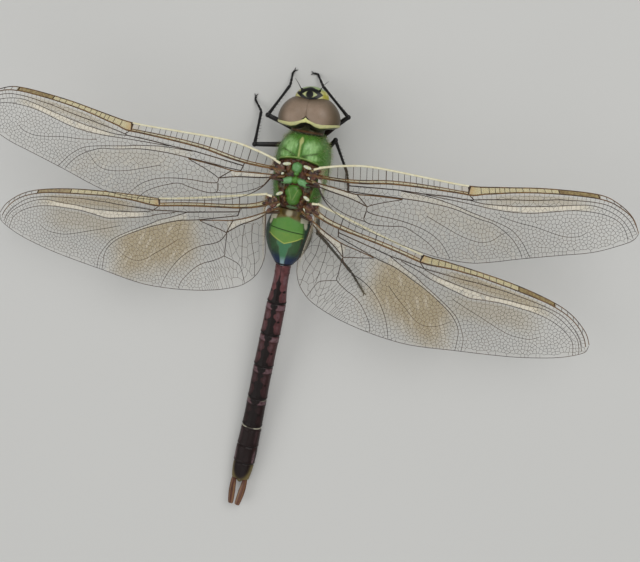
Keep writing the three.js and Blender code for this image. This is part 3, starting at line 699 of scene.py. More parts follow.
def rod(points, radii, lowest=None):
    """A place function for skin: a limb along the points, with rounded ends, and never below `lowest`."""
    line = [Vector(point) for point in smooth_line(points, 8)]
    lengths = [0.0]
    for a, b in zip(line, line[1:]):
        lengths.append(lengths[-1] + (b - a).length)
    total = lengths[-1]
    radii = [(radius,) for radius in radii]

    def place(turn, share):
        at = share * total
        i = max(j for j in range(len(line) - 1) if lengths[j] <= at + 1e-9)
        step = line[i + 1] - line[i]
        middle = line[i] + step * ((at - lengths[i]) / step.length)
        ahead = line[min(i + 2, len(line) - 1)] - line[max(i - 1, 0)]
        across = Vector((0, 0, 1)).cross(ahead).normalized()
        up = ahead.cross(across).normalized()
        radius = along(radii, share)[0]
        end = min(at, total - at) / radius
        radius *= math.sqrt(max(1 - (1 - min(end, 1)) ** 2, 0))
        point = middle + across * math.sin(turn * math.pi) * radius
        point += up * math.cos(turn * math.pi) * radius
        if lowest is not None:
            point.z = max(point.z, lowest)
        return point

    return place


def keep(bm, name, materials, nodes=()):
    """Turns a finished bmesh into a piece that rides on the frame and stands for these nodes."""
    mesh = bpy.data.meshes.new(name)
    bm.to_mesh(mesh)
    bm.free()
    mesh.shade_smooth()
    for material in materials:
        mesh.materials.append(material)
    piece = bpy.data.objects.new(name, mesh)
    bpy.context.scene.collection.objects.link(piece)
    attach(piece, "root")
    if nodes:
        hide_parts(*nodes)


def wires(lines, sides):
    """A mesh of thin tubes along lines of (point, radius) pairs, in mm. `sides` is 0 for four, 1 for six."""
    curve = bpy.data.curves.new("wires", "CURVE")
    curve.dimensions = "3D"
    curve.bevel_depth = MM
    curve.bevel_resolution = sides
    curve.use_fill_caps = True
    for line in lines:
        strand = curve.splines.new("POLY")
        strand.points.add(len(line) - 1)
        for bead, (point, radius) in zip(strand.points, line):
            bead.co = (*(point * MM), 1)
            bead.radius = radius
    holder = bpy.data.objects.new("wires", curve)
    bpy.context.scene.collection.objects.link(holder)
    ready = holder.evaluated_get(bpy.context.evaluated_depsgraph_get())
    mesh = bpy.data.meshes.new_from_object(ready)
    bpy.data.objects.remove(holder)
    bpy.data.curves.remove(curve)
    return mesh


def spike(bm, middle, way, long, radii, sides):
    """Adds a cone, `long` mm from end to end, that points along `way`. Returns its vertices."""
    spin = Vector((0, 0, 1)).rotation_difference(way).to_matrix().to_4x4()
    return bmesh.ops.create_cone(
        bm,
        cap_ends=True,
        segments=sides,
        radius1=radii[0] * MM,
        radius2=radii[1] * MM,
        depth=long * MM,
        matrix=Matrix.Translation(middle * MM) @ spin,
    )["verts"]


# ---- Thorax and neck ----


def ridge_line(x):
    """Where the ridge in front of the wings lies, as y for x."""
    return ANTEALAR[0] + ANTEALAR[1] * x * x


def hollow(x, y):
    """1 in the sunken back between the wings."""
    width = blend(3.5, 2.5, rise(y, 1, 8))
    behind = rise(y, ridge_line(x) + 0.1, ridge_line(x) + 0.5) * (1 - rise(y, 8.0, 8.5))
    return behind * (1 - rise(abs(x), width - 0.4, width + 0.3))


def boss(x, y, uneven, middle, half, turn):
    """Height, from 0 to 1, of a domed plate and its mirror image."""
    far = reach(abs(x), y, middle, half, turn) + uneven
    return math.sqrt(max(1 - far**4, 0)) * (1 - 0.12 * far * far)


def back_plates(x, y, plates):
    uneven = 0.12 * noise.noise(Vector((x, y, 3)) * 1.7)
    return max(height * boss(x, y, uneven, middle, half, turn) for middle, half, height, turn in plates)


def corner_seam(x, y, width):
    """1 on the fold between the front facets and the corner plates by the ridge."""
    x = abs(x)
    fold = -1.35 - 0.34 * (x - 0.45)
    return bell(y - fold, width) * rise(x, 0.35, 0.6) * (1 - rise(x, 2.8, 3.4))


def thorax_relief(x, y):
    """How far the back stands above the plain shell of the thorax."""
    ridge = ridge_line(x)
    lift = -0.6 * hollow(x, y)
    lift += hollow(x, y) * max(back_plates(x, y, GREEN_PLATES), back_plates(x, y, BROWN_PLATES))
    lift += 0.17 * bell(y - ridge, 0.13) * (1 - rise(abs(x), 3.3, 3.8))
    keel = rise(y, -4.9, -4.3) * (1 - rise(y, -1.25, -1.0))
    lift += 0.22 * bell(x, 0.17) * keel - 0.12 * bell(abs(x) - 0.42, 0.16) * keel
    lift -= 0.17 * corner_seam(x, y, 0.2) - 0.1 * spot(abs(x), y, (2.4, -1.45), (0.9, 0.4), 1.2, 8)
    vee = abs(x) - 0.12 - 0.36 * (6.3 - y)
    lift += 0.1 * bell(vee, 0.09) * rise(y, 4.1, 4.5) * (1 - rise(y, 6.1, 6.5)) * rise(0.98, abs(x), 1.4)
    return lift


def side_seam(point, start, end, width):
    """1 on a line down the side of the thorax, between two (y, z) points."""
    y, z = point.y, point.z
    share = min(max((start[1] - z) / (start[1] - end[1]), 0), 1)
    line = blend(start[0], end[0], share) + 0.35 * math.sin(share * math.pi)
    inside = rise(z, end[1] - 0.3, end[1] + 0.2) * (1 - rise(z, start[1] - 0.2, start[1] + 0.4))
    return bell(y - line, width) * inside


def side_seams(point):
    return max(side_seam(point, start, end, 0.13) for start, end in SIDE_SEAMS)


def build_thorax(colours):
    plain = loft(THORAX_RINGS, THORAX_POWER, THORAX_LEAN, 0.04)

    def place(turn, share):
        x, y, z = plain(turn * (0.5 + 0.5 * turn * turn), share)
        top = rise(z, 0.6, 2.2)
        if top:
            z += top * thorax_relief(x, y)
        seam = side_seams(Vector((x, y, z))) * rise(abs(x), 2.5, 3.4)
        return x * (1 - 0.03 * seam), y, z

    def on_top(mark):
        return lambda turn, share, p: mark(p.x, p.y) * rise(p.z, 1.2, 2.0)

    def green(x, y):
        return rise(back_plates(x, y, GREEN_PLATES), 0.05, 0.3) * hollow(x, y)

    def pit(x, y):
        return hollow(x, y) * (1 - green(x, y))

    def crest(x, y):
        width = 0.28 * rise(y, -4.8, -3.95) - 0.18 * rise(y, -3.9, -3.2)
        keel = (1 - rise(abs(x), width, width + 0.18)) * rise(y, -4.8, -4.4) * (1 - rise(y, -1.4, -1.1))
        keel *= 1 - 0.35 * rise(y, -3.7, -2.9)
        uneven = 0.5 + 0.5 * rise(noise.noise(Vector((x * 1.3, 2.0, 5.0))), -0.25, 0.3)
        front = 0.6 * uneven * bell(y - ridge_line(x), 0.08) * (1 - rise(abs(x), 3.2, 3.7))
        vee = bell(abs(x) - 0.12 - 0.36 * (6.3 - y), 0.09) * rise(y, 4.1, 4.5) * (1 - rise(y, 6.1, 6.5))
        return max(keel, front, 0.25 * vee)

    # Blue-green of the scutellum's two lobes, and a painted highlight on the middle of the scutum's dome.
    def bluish(x, y):
        lobes = spot(abs(x), y, (1.4, 3.2), (1.45, 0.8), 0.4, 14)
        return max(lobes * rise(abs(x), 0.3, 0.8), 0.7 * spot(x, y, (0, 0.5), (0.9, 1.0), 0.9))

    # Painted highlight: pale patches on the front facets and on the corner plates by the ridge.
    def facet(x, y):
        inner = spot(abs(x), y, (1.8, -3.0), (1.35, 1.2), 0.9, -14) * rise(abs(x), 0.4, 0.7)
        corner = spot(abs(x), y, (2.45, -1.4), (1.0, 0.5), 0.7, 8)
        return max(inner, corner)

    def shadow(x, y):
        front = bell(y - ridge_line(x) - 0.42, 0.22) * (1 - rise(abs(x), 3.3, 3.7))
        flank = 0.55 * bell(abs(x) - 0.45, 0.1) * rise(y, -4.4, -3.6) * (1 - rise(y, -1.6, -1.3))
        joint = max(corner_seam(x, y, 0.13), flank, 0.8 * spot(abs(x), y, (1.0, -1.3), (0.45, 0.2), 0.8, -6))
        waist = (bell(y - 2.05, 0.14) + bell(y - 4.1, 0.14) * rise(abs(x), 0.5, 1.0)) * hollow(x, y)
        edge = hollow(x, y) * bell(back_plates(x, y, GREEN_PLATES) - 0.1, 0.12) * 0.8
        return min(max(front, 0.8 * joint, waist, edge), 1)

    def dim(x, y):
        return rise(y, 3.4, 4.2) * (1 - 0.4 * spot(abs(x), y, (0.5, 5.2), (0.4, 1.0), 0.8))

    def membrane(x, y):
        return spot(abs(x), y, (2.25, 3.95), (0.6, 0.6), 0.5) * pit(x, y)

    marks = {
        "plate": on_top(green),
        "pit": on_top(pit),
        "crest": on_top(crest),
        "bluish": on_top(bluish),
        "facet": on_top(facet),
        "shadow": on_top(shadow),
        "brow": lambda turn, share, p: 1 - rise(p.y, -5.4, -4.9),
        "membrane": on_top(membrane),
        "ash": on_top(lambda x, y: rise(y, 6.95, 7.35)),
        "dim": on_top(dim),
        "seam": lambda turn, share, p: side_seams(p) * rise(abs(p.x), 2.5, 3.4),
        # Painted shade: the sides of the thorax darker green, half as much low down.
        "flank": lambda turn, share, p: rise(abs(p.x), 2.2, 4.0) * (1 - 0.5 * rise(abs(turn), 0.4, 0.6)),
        "belly": lambda turn, share, p: rise(abs(turn), 0.72, 0.9),
    }
    bm = bmesh.new()
    skin(bm, 260, 170, place, TRUNK, marks)
    finish = Finish("Thorax shell", Roughness=0.36, Coat_Weight=0.12, Coat_Roughness=0.2)
    green_deep, pit_dark = colours.green_deep, colours.pit_dark
    leather = finish.over(
        colours.pit,
        (finish.cloud(0.5, 4, 0.35, 0.65), pit_dark),
        (finish.cloud(0.9, 3, 0.5, 0.7, 0, 0.6), colours.ochre),
    )
    # Streaks in the painted highlight of the facets.
    bright = finish.cloud(0.7, 4, 0.35, 0.6, 0.35, 1.0, stretch=(1, 0.5, 1))
    shell = finish.over(
        colours.green,
        (finish.times(finish.cloud(1.6, 4, 0.35, 0.65), 0.3), green_deep),
        # Painted shade on the sides.
        ("flank", green_deep),
        # Painted highlight on the facets.
        (finish.times(finish.mark("facet"), bright), colours.green_bright),
        (finish.cloud(0.38, 4, 0.45, 0.7, 0, 0.4, stretch=(1, 0.45, 1)), green_deep),
        # Blue-green lobes, and the painted highlight on the scutum.
        ("bluish", colours.green_blue),
        (finish.mark("dim", 0.75), green_deep),
        (finish.times(finish.mark("plate", 0.3), finish.cloud(0.45, 4, 0.4, 0.62)), green_deep),
        (finish.mark("ash", 0.9), colours.ash),
        ("pit", leather),
        (finish.mark("membrane", 0.75), colours.ash),
        (finish.mark("shadow", 0.75), pit_dark),
        ("crest", colours.ridge),
        (finish.mark("seam", 0.6), colours.pit),
        (finish.mark("brow", 0.6), pit_dark),
        (finish.mark("belly", 0.5), colours.ridge),
    )
    finish.bump(finish.plus(finish.times(finish.noise(0.16, 3), 0.5), finish.noise(0.7, 3)), 0.05)
    keep(bm, "thorax_shell", [finish.done(shell)], ("thorax", "thorax_back"))


def build_knobs(colours):
    bm = bmesh.new()
    for side in (LEFT, RIGHT):
        for middle, half, turn in KNOBS:
            skin(bm, 20, 12, egg((middle[0] * side, *middle[1:]), half, turn * side), TRUNK)
    finish = Finish("Knob horn", Roughness=0.25, Coat_Weight=0.5)
    horn = finish.mix(finish.cloud(0.4, 3, 0.4, 0.75), colours.knob, colours.ridge)
    finish.bump(finish.noise(0.12, 2), 0.02)
    keep(bm, "wing_knobs", [finish.done(horn)])


def build_neck(colours):
    bm = bmesh.new()
    marks = {"collar": lambda turn, share, p: band(p.y, -5.55, 0.16, 0.1)}
    skin(bm, 64, 40, loft(NECK_RINGS, 2.2, 0, 0.06), TRUNK, marks)
    for side in (LEFT, RIGHT):
        skin(bm, 24, 14, egg((1.15 * side, -5.75, 2.35), (0.8, 0.42, 0.6), 18 * side), TRUNK, marks)
    finish = Finish("Neck shell", Roughness=0.5)
    shell = finish.over(
        colours.neck,
        (finish.cloud(0.6, 4, 0.4, 0.7), colours.nape),
        (finish.mark("collar", 0.45), colours.pit),
    )
    finish.bump(finish.noise(0.2, 4), 0.05)
    keep(bm, "neck", [finish.done(shell)], ("prothorax",))


# ---- Head ----


def head_form(x, y, z):
    """Widens the back of the eyes and fills the groove between them."""
    x *= 1 + 0.032 * (y - 1.2)
    return x, y, z + 0.34 * bell(x, 0.8) * rise(z, 1.0, 3.2)


def eye_profile(angle, y):
    """Distance from the head's middle to the outside of the two eyes, at an angle from the top."""
    depth = max(y - EYE_AT[1], 0) / EYE_HALF[1]
    small = math.sqrt(max(1 - depth * depth, 0.42))
    wide, tall = EYE_HALF[0] * small, EYE_HALF[2] * small
    across, up = abs(math.sin(angle)) / wide, math.cos(angle) / tall
    size, shift = across * across + up * up, across * EYE_AT[0] / wide
    return (shift + math.sqrt(shift * shift - size * ((EYE_AT[0] / wide) ** 2 - 1))) / size


def rim_rows(angle):
    """Rows of the head's back as (y, share of the eyes' outline)."""
    out = abs(math.sin(angle)) * eye_profile(angle, 2.5)
    front, rear = line_at(RIM_FRONT, out), line_at(RIM_REAR, out)
    low = rise(-math.cos(angle), 0.0, 0.6)
    front = blend(front, 2.5, low)
    rear = blend(rear, 2.9, low)
    return (
        (front - 0.5, 0),
        (front - 0.3, 0.9),
        (front - 0.03, 0.985),
        (front + 0.02, 1.012),
        (blend(front, rear, 0.5), 1.02),
        (rear - 0.1, 1.012),
        (rear, 0.985),
        (rear + 0.2, 0.93),
        (rear + 0.36, 0.84),
        (rear + 0.4, 0.7),
        (rear + 0.3, 0.45),
        (rear + 0.25, 0),
    )


def build_capsule(colours):
    bm = bmesh.new()
    rows = {}

    def place(turn, share):
        angle = turn * math.pi
        if turn not in rows:
            rows[turn] = rim_rows(angle)
        y, part = along(rows[turn], share)
        part = 0 if share in (0, 1) else max(part, 0)
        radius = eye_profile(angle, y) * part
        x = math.sin(angle) * radius
        crest = 0.12 * bell(x, 0.45) * rise(math.cos(angle), 0, 0.5) * rise(part, 0.95, 1.0)
        return head_form(x, y, EYE_AT[2] + math.cos(angle) * radius + crest)

    def rim(turn, share, p):
        row = share * 11
        return rise(row, 2.3, 2.8) * (1 - rise(row, 5.7, 6.2)) * rise(p.z, -2.6, -1.0)

    marks = {
        "rim": rim,
        "bright": lambda turn, share, p: bell(p.x, 0.8) * rise(p.z, 2.5, 3.2),
        "olive": lambda turn, share, p: (1 - rise(share * 11, 7.0, 8.5)) * rise(abs(p.x), 1.2, 2.6),
    }
    skin(bm, 200, 88, place, HEAD, marks)
    finish = Finish("Head shell", Roughness=0.42, Coat_Weight=0.2)
    dark = finish.mix(finish.mark("olive"), colours.nape, colours.neck)
    dark = finish.mix(finish.times(finish.cloud(0.9, 3, 0.4, 0.7), 0.5), dark, colours.mask)
    pale = finish.mix(finish.mark("bright"), colours.rim, colours.rim_bright)
    pale = finish.mix(finish.times(finish.cloud(0.6, 3, 0.35, 0.7), 0.3), pale, colours.face_green)
    finish.bump(finish.noise(0.25, 3), 0.03)
    keep(bm, "head_shell", [finish.done(finish.mix(finish.mark("rim"), dark, pale))], ("head",))


def build_eyes(colours):
    finish = Finish("Eye facets", Roughness=0.45, Coat_Weight=0.12, Coat_Roughness=0.3)
    cloud = finish.cloud(1.8, 2, 0.3, 0.7)
    top = finish.mix(finish.times(cloud, 0.18), colours.eye_top, colours.eye_edge)
    flecks = finish.span(finish.cells(0.22), 0.1, 0.6)
    eye = finish.over(
        top,
        # Painted shade toward the eye's rim and front.
        ("edge", colours.eye_edge),
        ("low", colours.eye_low),
        (finish.times(flecks, 0.1), colours.eye_edge),
    )
    finish.bump(finish.cells(0.075), 0.012, 0.5)
    finish.done(eye)
    rear = HEAD @ Vector((0, EYE_REAR, 0)) * MM
    middle = HEAD @ Vector((0, 0, 0)) * MM
    notch = HEAD @ Vector((0, 2.15, 0)) * MM
    for name, side in SIDES.items():
        ball = egg((EYE_AT[0] * side, *EYE_AT[1:]), EYE_HALF)

        def place(turn, share, ball=ball, side=side):
            x, y, z = ball(turn, share)
            up, ahead = z - EYE_AT[2], y - EYE_AT[1]
            fill = 0.42 * max(1 - max(x * side, 0) / 1.5, 0) ** 2 * (1 - rise(y, 0.1, 1.5))
            fill /= max(math.hypot(up, ahead), 0.1)
            return head_form(x, y + ahead * fill, z + up * fill)

        # Painted shade: the eye darkens toward its outer rim and its front, and a little along the groove
        # where the two eyes meet.
        def edge(turn, share, p, side=side):
            x = (p.x * side - EYE_AT[0]) / EYE_HALF[0]
            y = (p.y - EYE_AT[1]) / EYE_HALF[1]
            outer = rise(math.hypot(x, 0.8 * y), 0.3, 0.95) * rise(x, -0.3, 0.5)
            front = rise(-y, 0.5, 1.0) * 0.9
            return min(max(outer, front, 0.12 * bell(p.x, 0.2)), 1)

        marks = {"edge": edge, "low": lambda turn, share, p: 1 - rise(p.z, -2.0, 0.2)}
        bm = bmesh.new()
        skin(bm, 128, 110, place, HEAD, marks)
        turned = HEAD.to_3x3()
        cuts = ((middle, (side, 0, 0)), (rear, (0, -1, 0)), (notch, (0.4 * side, -1, 0)))
        for point, normal in cuts:
            whole, facing = bm.verts[:] + bm.edges[:] + bm.faces[:], turned @ Vector(normal)
            cut = bmesh.ops.bisect_plane(bm, geom=whole, plane_co=point, plane_no=facing, clear_inner=True)
            rim = [part for part in cut["geom_cut"] if isinstance(part, bmesh.types.BMEdge)]
            bmesh.ops.holes_fill(bm, edges=rim, sides=0)
        keep(bm, "eye_" + name, [finish.material], ("eye_" + name,))


def build_face(colours):
    def almond(p, half, bulge):
        """How far inside an almond a point lies, whose corners point left and right."""
        x, y = p.x - EYESPOT[0], p.y - EYESPOT[1]
        return bulge * (1 - abs(x / half) ** 1.6) - abs(y)

    def spot_mark(turn, share, p):
        away = math.hypot(p.x - EYESPOT[0], p.y - EYESPOT[1])
        return (1 - rise(away, 0.62, 0.72)) * rise(p.z, 0.3, 0.8)

    def black_mark(turn, share, p):
        ahead = spot(p.x, p.y, (EYESPOT[0], EYESPOT[1] - 0.6), (1.6, 0.46), 0.25)
        outer = max(rise(almond(p, 2.3, 1.27), -0.05, 0.08), ahead)
        near_eyes = spot(p.x, p.y, (0, -1.05), (2.0, 0.42), 0.3)
        corner = spot(p.x, p.y, (1.95, -2.3), (0.5, 0.3), 0.4, -20)
        return max(outer, near_eyes, corner) * rise(p.z, -0.2, 0.3)

    def ring_mark(turn, share, p):
        return rise(almond(p, 1.32, 0.61), -0.05, 0.06) * rise(p.z, -0.2, 0.3)

    marks = {
        "spot": spot_mark,
        "black": black_mark,
        "ring": ring_mark,
        "front": lambda turn, share, p: 1 - rise(p.y, -3.3, -2.7),
    }
    finish = Finish("Face shell", Roughness=0.34, Coat_Weight=0.12)
    side = finish.mix(finish.cloud(0.9, 3, 0.3, 0.7), colours.face, colours.rim)
    side = finish.mix(finish.mark("front"), side, colours.face_green)
    ring = finish.mix(finish.cloud(0.5, 2, 0.3, 0.7), colours.rim, colours.face_green)
    tone = finish.over(side, ("black", colours.mask), ("ring", ring), ("spot", colours.mask))
    finish.bump(finish.noise(0.14, 3), 0.03)
    bm = bmesh.new()
    skin(bm, 140, 90, egg(*FACE["frons"]), HEAD, marks)
    keep(bm, "frons", [finish.done(tone)], ("frons",))

    lower = Finish("Lower face shell", Roughness=0.38, Coat_Weight=0.25)
    tone = lower.mix(lower.cloud(0.8, 3, 0.3, 0.7), colours.face_green, colours.face)
    tone = lower.mix(lower.mark("dark"), tone, colours.mask)
    lower.bump(lower.noise(0.16, 3), 0.04)
    lower.done(tone)
    for name in ("clypeus", "labrum", "labium"):
        middle, half = FACE[name]

        def dark(turn, share, p, name=name, middle=middle, half=half):
            low = middle[2] - half[2] * 0.55
            if name == "clypeus":
                return 0.55 * bell(p.z - low, 0.18)
            if name == "labrum":
                return max(1 - rise(p.z, low, low + 0.25), bell(p.x, 0.16) * bell(p.z - middle[2] - 0.5, 0.3))
            return max(bell(p.x, 0.1), 0.8 * bell(abs(p.x) - 1.25, 0.12)) * rise(middle[2], p.z, p.z + 1.2)

        bm = bmesh.new()
        skin(bm, 72, 48, egg(middle, half), HEAD, {"dark": dark})
        keep(bm, name, [lower.material], (name,))


def build_antennae(colours):
    finish = Finish("Antenna shell", Roughness=0.45)
    tone = finish.mix(finish.cloud(0.4, 2, 0.4, 0.7), colours.mask, colours.leg)
    finish.bump(finish.noise(0.1, 2), 0.02)
    finish.done(tone)
    for name, side in SIDES.items():
        bm = bmesh.new()
        points = [(x * side, y, z) for x, y, z in ANTENNA]
        skin(bm, 12, 40, rod(points, ANTENNA_RADII), HEAD)
        base = [blend(points[0][i], points[1][i], 0.28) for i in range(3)]
        skin(bm, 16, 12, egg(points[0], (0.3, 0.34, 0.3)), HEAD)
        skin(bm, 16, 12, egg(base, (0.2, 0.3, 0.2)), HEAD)
        keep(bm, "antenna_" + name, [finish.material], ("antenna_" + name,))


# ---- Wings ----


def line_at(points, place):
    """The second value of a line at `place` of its first, or None past its ends."""
    low, high = sorted((points[0][0], points[-1][0]))
    if not low <= place <= high:
        return None
    for a, b in zip(points, points[1:]):
        if min(a[0], b[0]) <= place <= max(a[0], b[0]) and a[0] != b[0]:
            return blend(a[1], b[1], (place - a[0]) / (b[0] - a[0]))
    return points[-1][1]


def distance_to(point, line):
    """Distance from a flat point to a line."""
    best = math.inf
    for a, b in zip(line, line[1:]):
        step = (b[0] - a[0], b[1] - a[1])
        size = step[0] ** 2 + step[1] ** 2 or 1e-12
        share = min(max(((point[0] - a[0]) * step[0] + (point[1] - a[1]) * step[1]) / size, 0), 1)
        on = (a[0] + step[0] * share, a[1] + step[1] * share)
        best = min(best, math.hypot(point[0] - on[0], point[1] - on[1]))
    return best


class Wing:
    """One wing's outline, veins and place."""

    def __init__(self, kind, side):
        facts = WINGS[kind]
        self.facts, self.side = facts, side
        self.lead = smooth_line(facts["lead"], 6)
        self.trail = smooth_line(facts["trail"], 6)
        self.end = facts["lead"][-1][0]
        self.veins = {name: smooth_line(vein[3], 4) for name, vein in facts["veins"].items()}
        root = Matrix.Translation((facts["root"][0] * side, *facts["root"][1:]))
        sweep = Matrix.Rotation(math.radians(facts["sweep"][side] * side), 4, "Z")
        lift = Matrix.Rotation(math.radians(-facts["rise"][side] * side), 4, "Y")
        self.frame = TRUNK @ root @ sweep @ lift
        self.rows, self.places = {}, {}

    def vein(self, name, out):
        """Where the vein `name` lies at `out` from the root, or None past its ends."""
        key = name, round(out, 3)
        if key not in self.places:
            self.places[key] = line_at(self.veins[name], key[1])
        return self.places[key]

    def row(self, out):
        """The front edge, the rear edge, and the folds as (place, height), at `out` from the root."""
        key = round(out, 3)
        if key not in self.rows:
            folds = []
            for name, line in self.veins.items():
                lift = self.facts["veins"][name][2]
                back = line_at(line, key) if lift else None
                if back is not None:
                    ends = (abs(key - line[0][0]) if line[0][0] > 0.5 else 9, abs(line[-1][0] - key))
                    folds.append((back, lift * rise(min(ends), 0, 2.5)))
            edge = min(max(key, 1e-3), self.end - 1e-3)
            front, rear = line_at(self.lead, edge), line_at(self.trail, edge)
            self.rows[key] = (front, rear, folds)
        return self.rows[key]

    def height(self, out, back):
        front, rear, folds = self.row(out)
        lift = 0.08 * max(0, 1 - (back - front) / 0.7)
        lift += sum(height * max(0, 1 - abs(back - place) / 0.75) for place, height in folds)
        return lift * (1 - 0.45 * out / self.end)

    def at(self, out, back, lift=0.0):
        """A point of the wing in the floor's frame, in mm."""
        out = min(max(out, 0), self.end)
        return self.frame @ Vector((out * self.side, back, self.height(out, back) + lift))

    def inside(self, out, back):
        if not 0 < out < self.end:
            return False
        front, rear, _ = self.row(out)
        return front < back < rear

    def press(self, out):
        """How much the cells near the root are squeezed before they are laid, so that they come out long."""
        return blend(self.facts["press"], 1, rise(out, 6, 12))

    def pressed(self, point):
        return point[0], point[1] * self.press(point[0])

    def behind_radius(self, out, back):
        """How far a point lies behind the radius vein."""
        return back - self.vein("radius", min(out, self.veins["radius"][-1][0] - 1e-3))


def cell_seeds(wing, dice):
    """Middles of the cells: pairs on both sides of every main vein and of the rear edge, and a jittered net
    between them."""
    lines = [line for name, line in wing.veins.items() if name != "subcosta"] + [wing.trail]
    lines = [[wing.pressed(point) for point in line] for line in lines]
    ranges = [(min(x for x, _ in line) - 2, max(x for x, _ in line) + 2) for line in lines]
    grid, seeds = {}, []

    def size(out, back):
        return min(max(1.12 - 0.009 * out - 0.022 * back, 0.62), 1.0)

    def clear(point, gap):
        i, j = int(point[0] // 1), int(point[1] // 1)
        near = (seed for di in (-1, 0, 1) for dj in (-1, 0, 1) for seed in grid.get((i + di, j + dj), ()))
        return all(math.hypot(point[0] - x, point[1] - y) > gap for x, y in near)

    def plant(point):
        grid.setdefault((int(point[0] // 1), int(point[1] // 1)), []).append(point)
        seeds.append(point)

    for line in lines:
        walked = 0.0
        step = 0.5
        for a, b in zip(line, line[1:]):
            span = math.hypot(b[0] - a[0], b[1] - a[1])
            while walked + step <= span and span > 0:
                walked += step
                x, y = blend(a[0], b[0], walked / span), blend(a[1], b[1], walked / span)
                normal = (-(b[1] - a[1]) / span, (b[0] - a[0]) / span)
                cell = size(x, y)
                for way in (1, -1):
                    away = 0.46 * cell
                    for other, (low, high) in zip(lines, ranges):
                        if other is not line and low < x < high:
                            beside = (x + normal[0] * away * way, y + normal[1] * away * way)
                            gap = distance_to(beside, other)
                            if gap < away:
                                away = max(0.5 * (away + gap), 0.2)
                    point = (x + normal[0] * away * way, y + normal[1] * away * way)
                    if clear(point, 0.62 * cell):
                        plant(point)
                step = cell * dice.uniform(0.85, 1.15)
            walked -= span
    back = -1.5
    while back < 18:
        out = dice.uniform(0, 0.5)
        while out < wing.end + 1:
            cell = size(out, back)
            point = (out + dice.uniform(-0.16, 0.16) * cell, back + dice.uniform(-0.16, 0.16) * cell)
            if clear(point, 0.72 * cell):
                plant(point)
            out += cell * 0.5
        back += 0.4
    return seeds, lines


def cell_edges(wing, dice):
    """The walls between the cells, as pairs of flat points."""
    seeds, lines = cell_seeds(wing, dice)
    corners, _, faces, _, _, _ = delaunay_2d_cdt([Vector(seed) for seed in seeds], [], [], 0, 1e-7)
    ranges = [(min(x for x, _ in line) - 0.5, max(x for x, _ in line) + 0.5) for line in lines]
    middles, shared = [], {}
    for face in faces:
        a, b, c = (corners[i] for i in face)
        middle = circle_middle(a, b, c)
        middles.append(middle)
        for i in range(3):
            key = tuple(sorted((face[i], face[(i + 1) % 3])))
            shared.setdefault(key, []).append(len(middles) - 1)
    edges = []
    for sides in shared.values():
        if len(sides) != 2:
            continue
        a, b = middles[sides[0]], middles[sides[1]]
        if a is None or b is None:
            continue
        c, d = (Vector((corner.x, corner.y / wing.press(corner.x))) for corner in (a, b))
        if not (wing.inside(*c) and wing.inside(*d)) or not 0.06 < (d - c).length < 2.4:
            continue
        if wing.behind_radius(*c) < -0.05 or wing.behind_radius(*d) < -0.05:
            continue
        half = (a + b) / 2
        near = [line for line, (low, high) in zip(lines, ranges) if low < half.x < high]
        near = min(near, key=lambda line: distance_to(half, line))
        tilt = abs(distance_to(a, near) - distance_to(b, near))
        if distance_to(half, near) < 0.12 and tilt < 0.16:  # the main vein is this wall
            continue
        edges.append((c, d))
    return edges


def circle_middle(a, b, c):
    """The middle of the circle through three flat points, or None where they lie on a line."""
    twice = 2 * (a.x * (b.y - c.y) + b.x * (c.y - a.y) + c.x * (a.y - b.y))
    if abs(twice) < 1e-9:
        return None
    aa, bb, cc = a.length_squared, b.length_squared, c.length_squared
    x = (aa * (b.y - c.y) + bb * (c.y - a.y) + cc * (a.y - b.y)) / twice
    y = (aa * (c.x - b.x) + bb * (a.x - c.x) + cc * (b.x - a.x)) / twice
    return Vector((x, y))


def strand(wing, points, start, end, lift=0.0):
    """A vein along flat points, whose radius goes from start to end."""
    count = max(len(points) - 1, 1)
    return [(wing.at(*point, lift), blend(start, end, i / count)) for i, point in enumerate(points)]


def root_strands(wing):
    """The bases of the main veins, from the body to the wing's root."""
    roots = (
        ((0, 0), (0.35, 0.3), -0.75),
        (wing.veins["radius"][0], (1.35, 0.15), -2.1),
        (wing.veins["stem_lower"][0], (2.4, -0.1), -2.1),
        ((0, 3.3), (3.1, -0.1), -2.1),
    )
    lines = []
    for (_, back), (inner, up), reach_in in roots:
        points = [
            (reach_in, inner, up - 0.2),
            (reach_in / 2, blend(inner, back, 0.35), up),
            (0.35, back, wing.height(0.3, back)),
        ]
        line = [wing.frame @ Vector((x * wing.side, y, z)) for x, y, z in smooth_line(points, 4)]
        lines.append([(point, blend(0.27, 0.16, i / (len(line) - 1))) for i, point in enumerate(line)])
    return lines


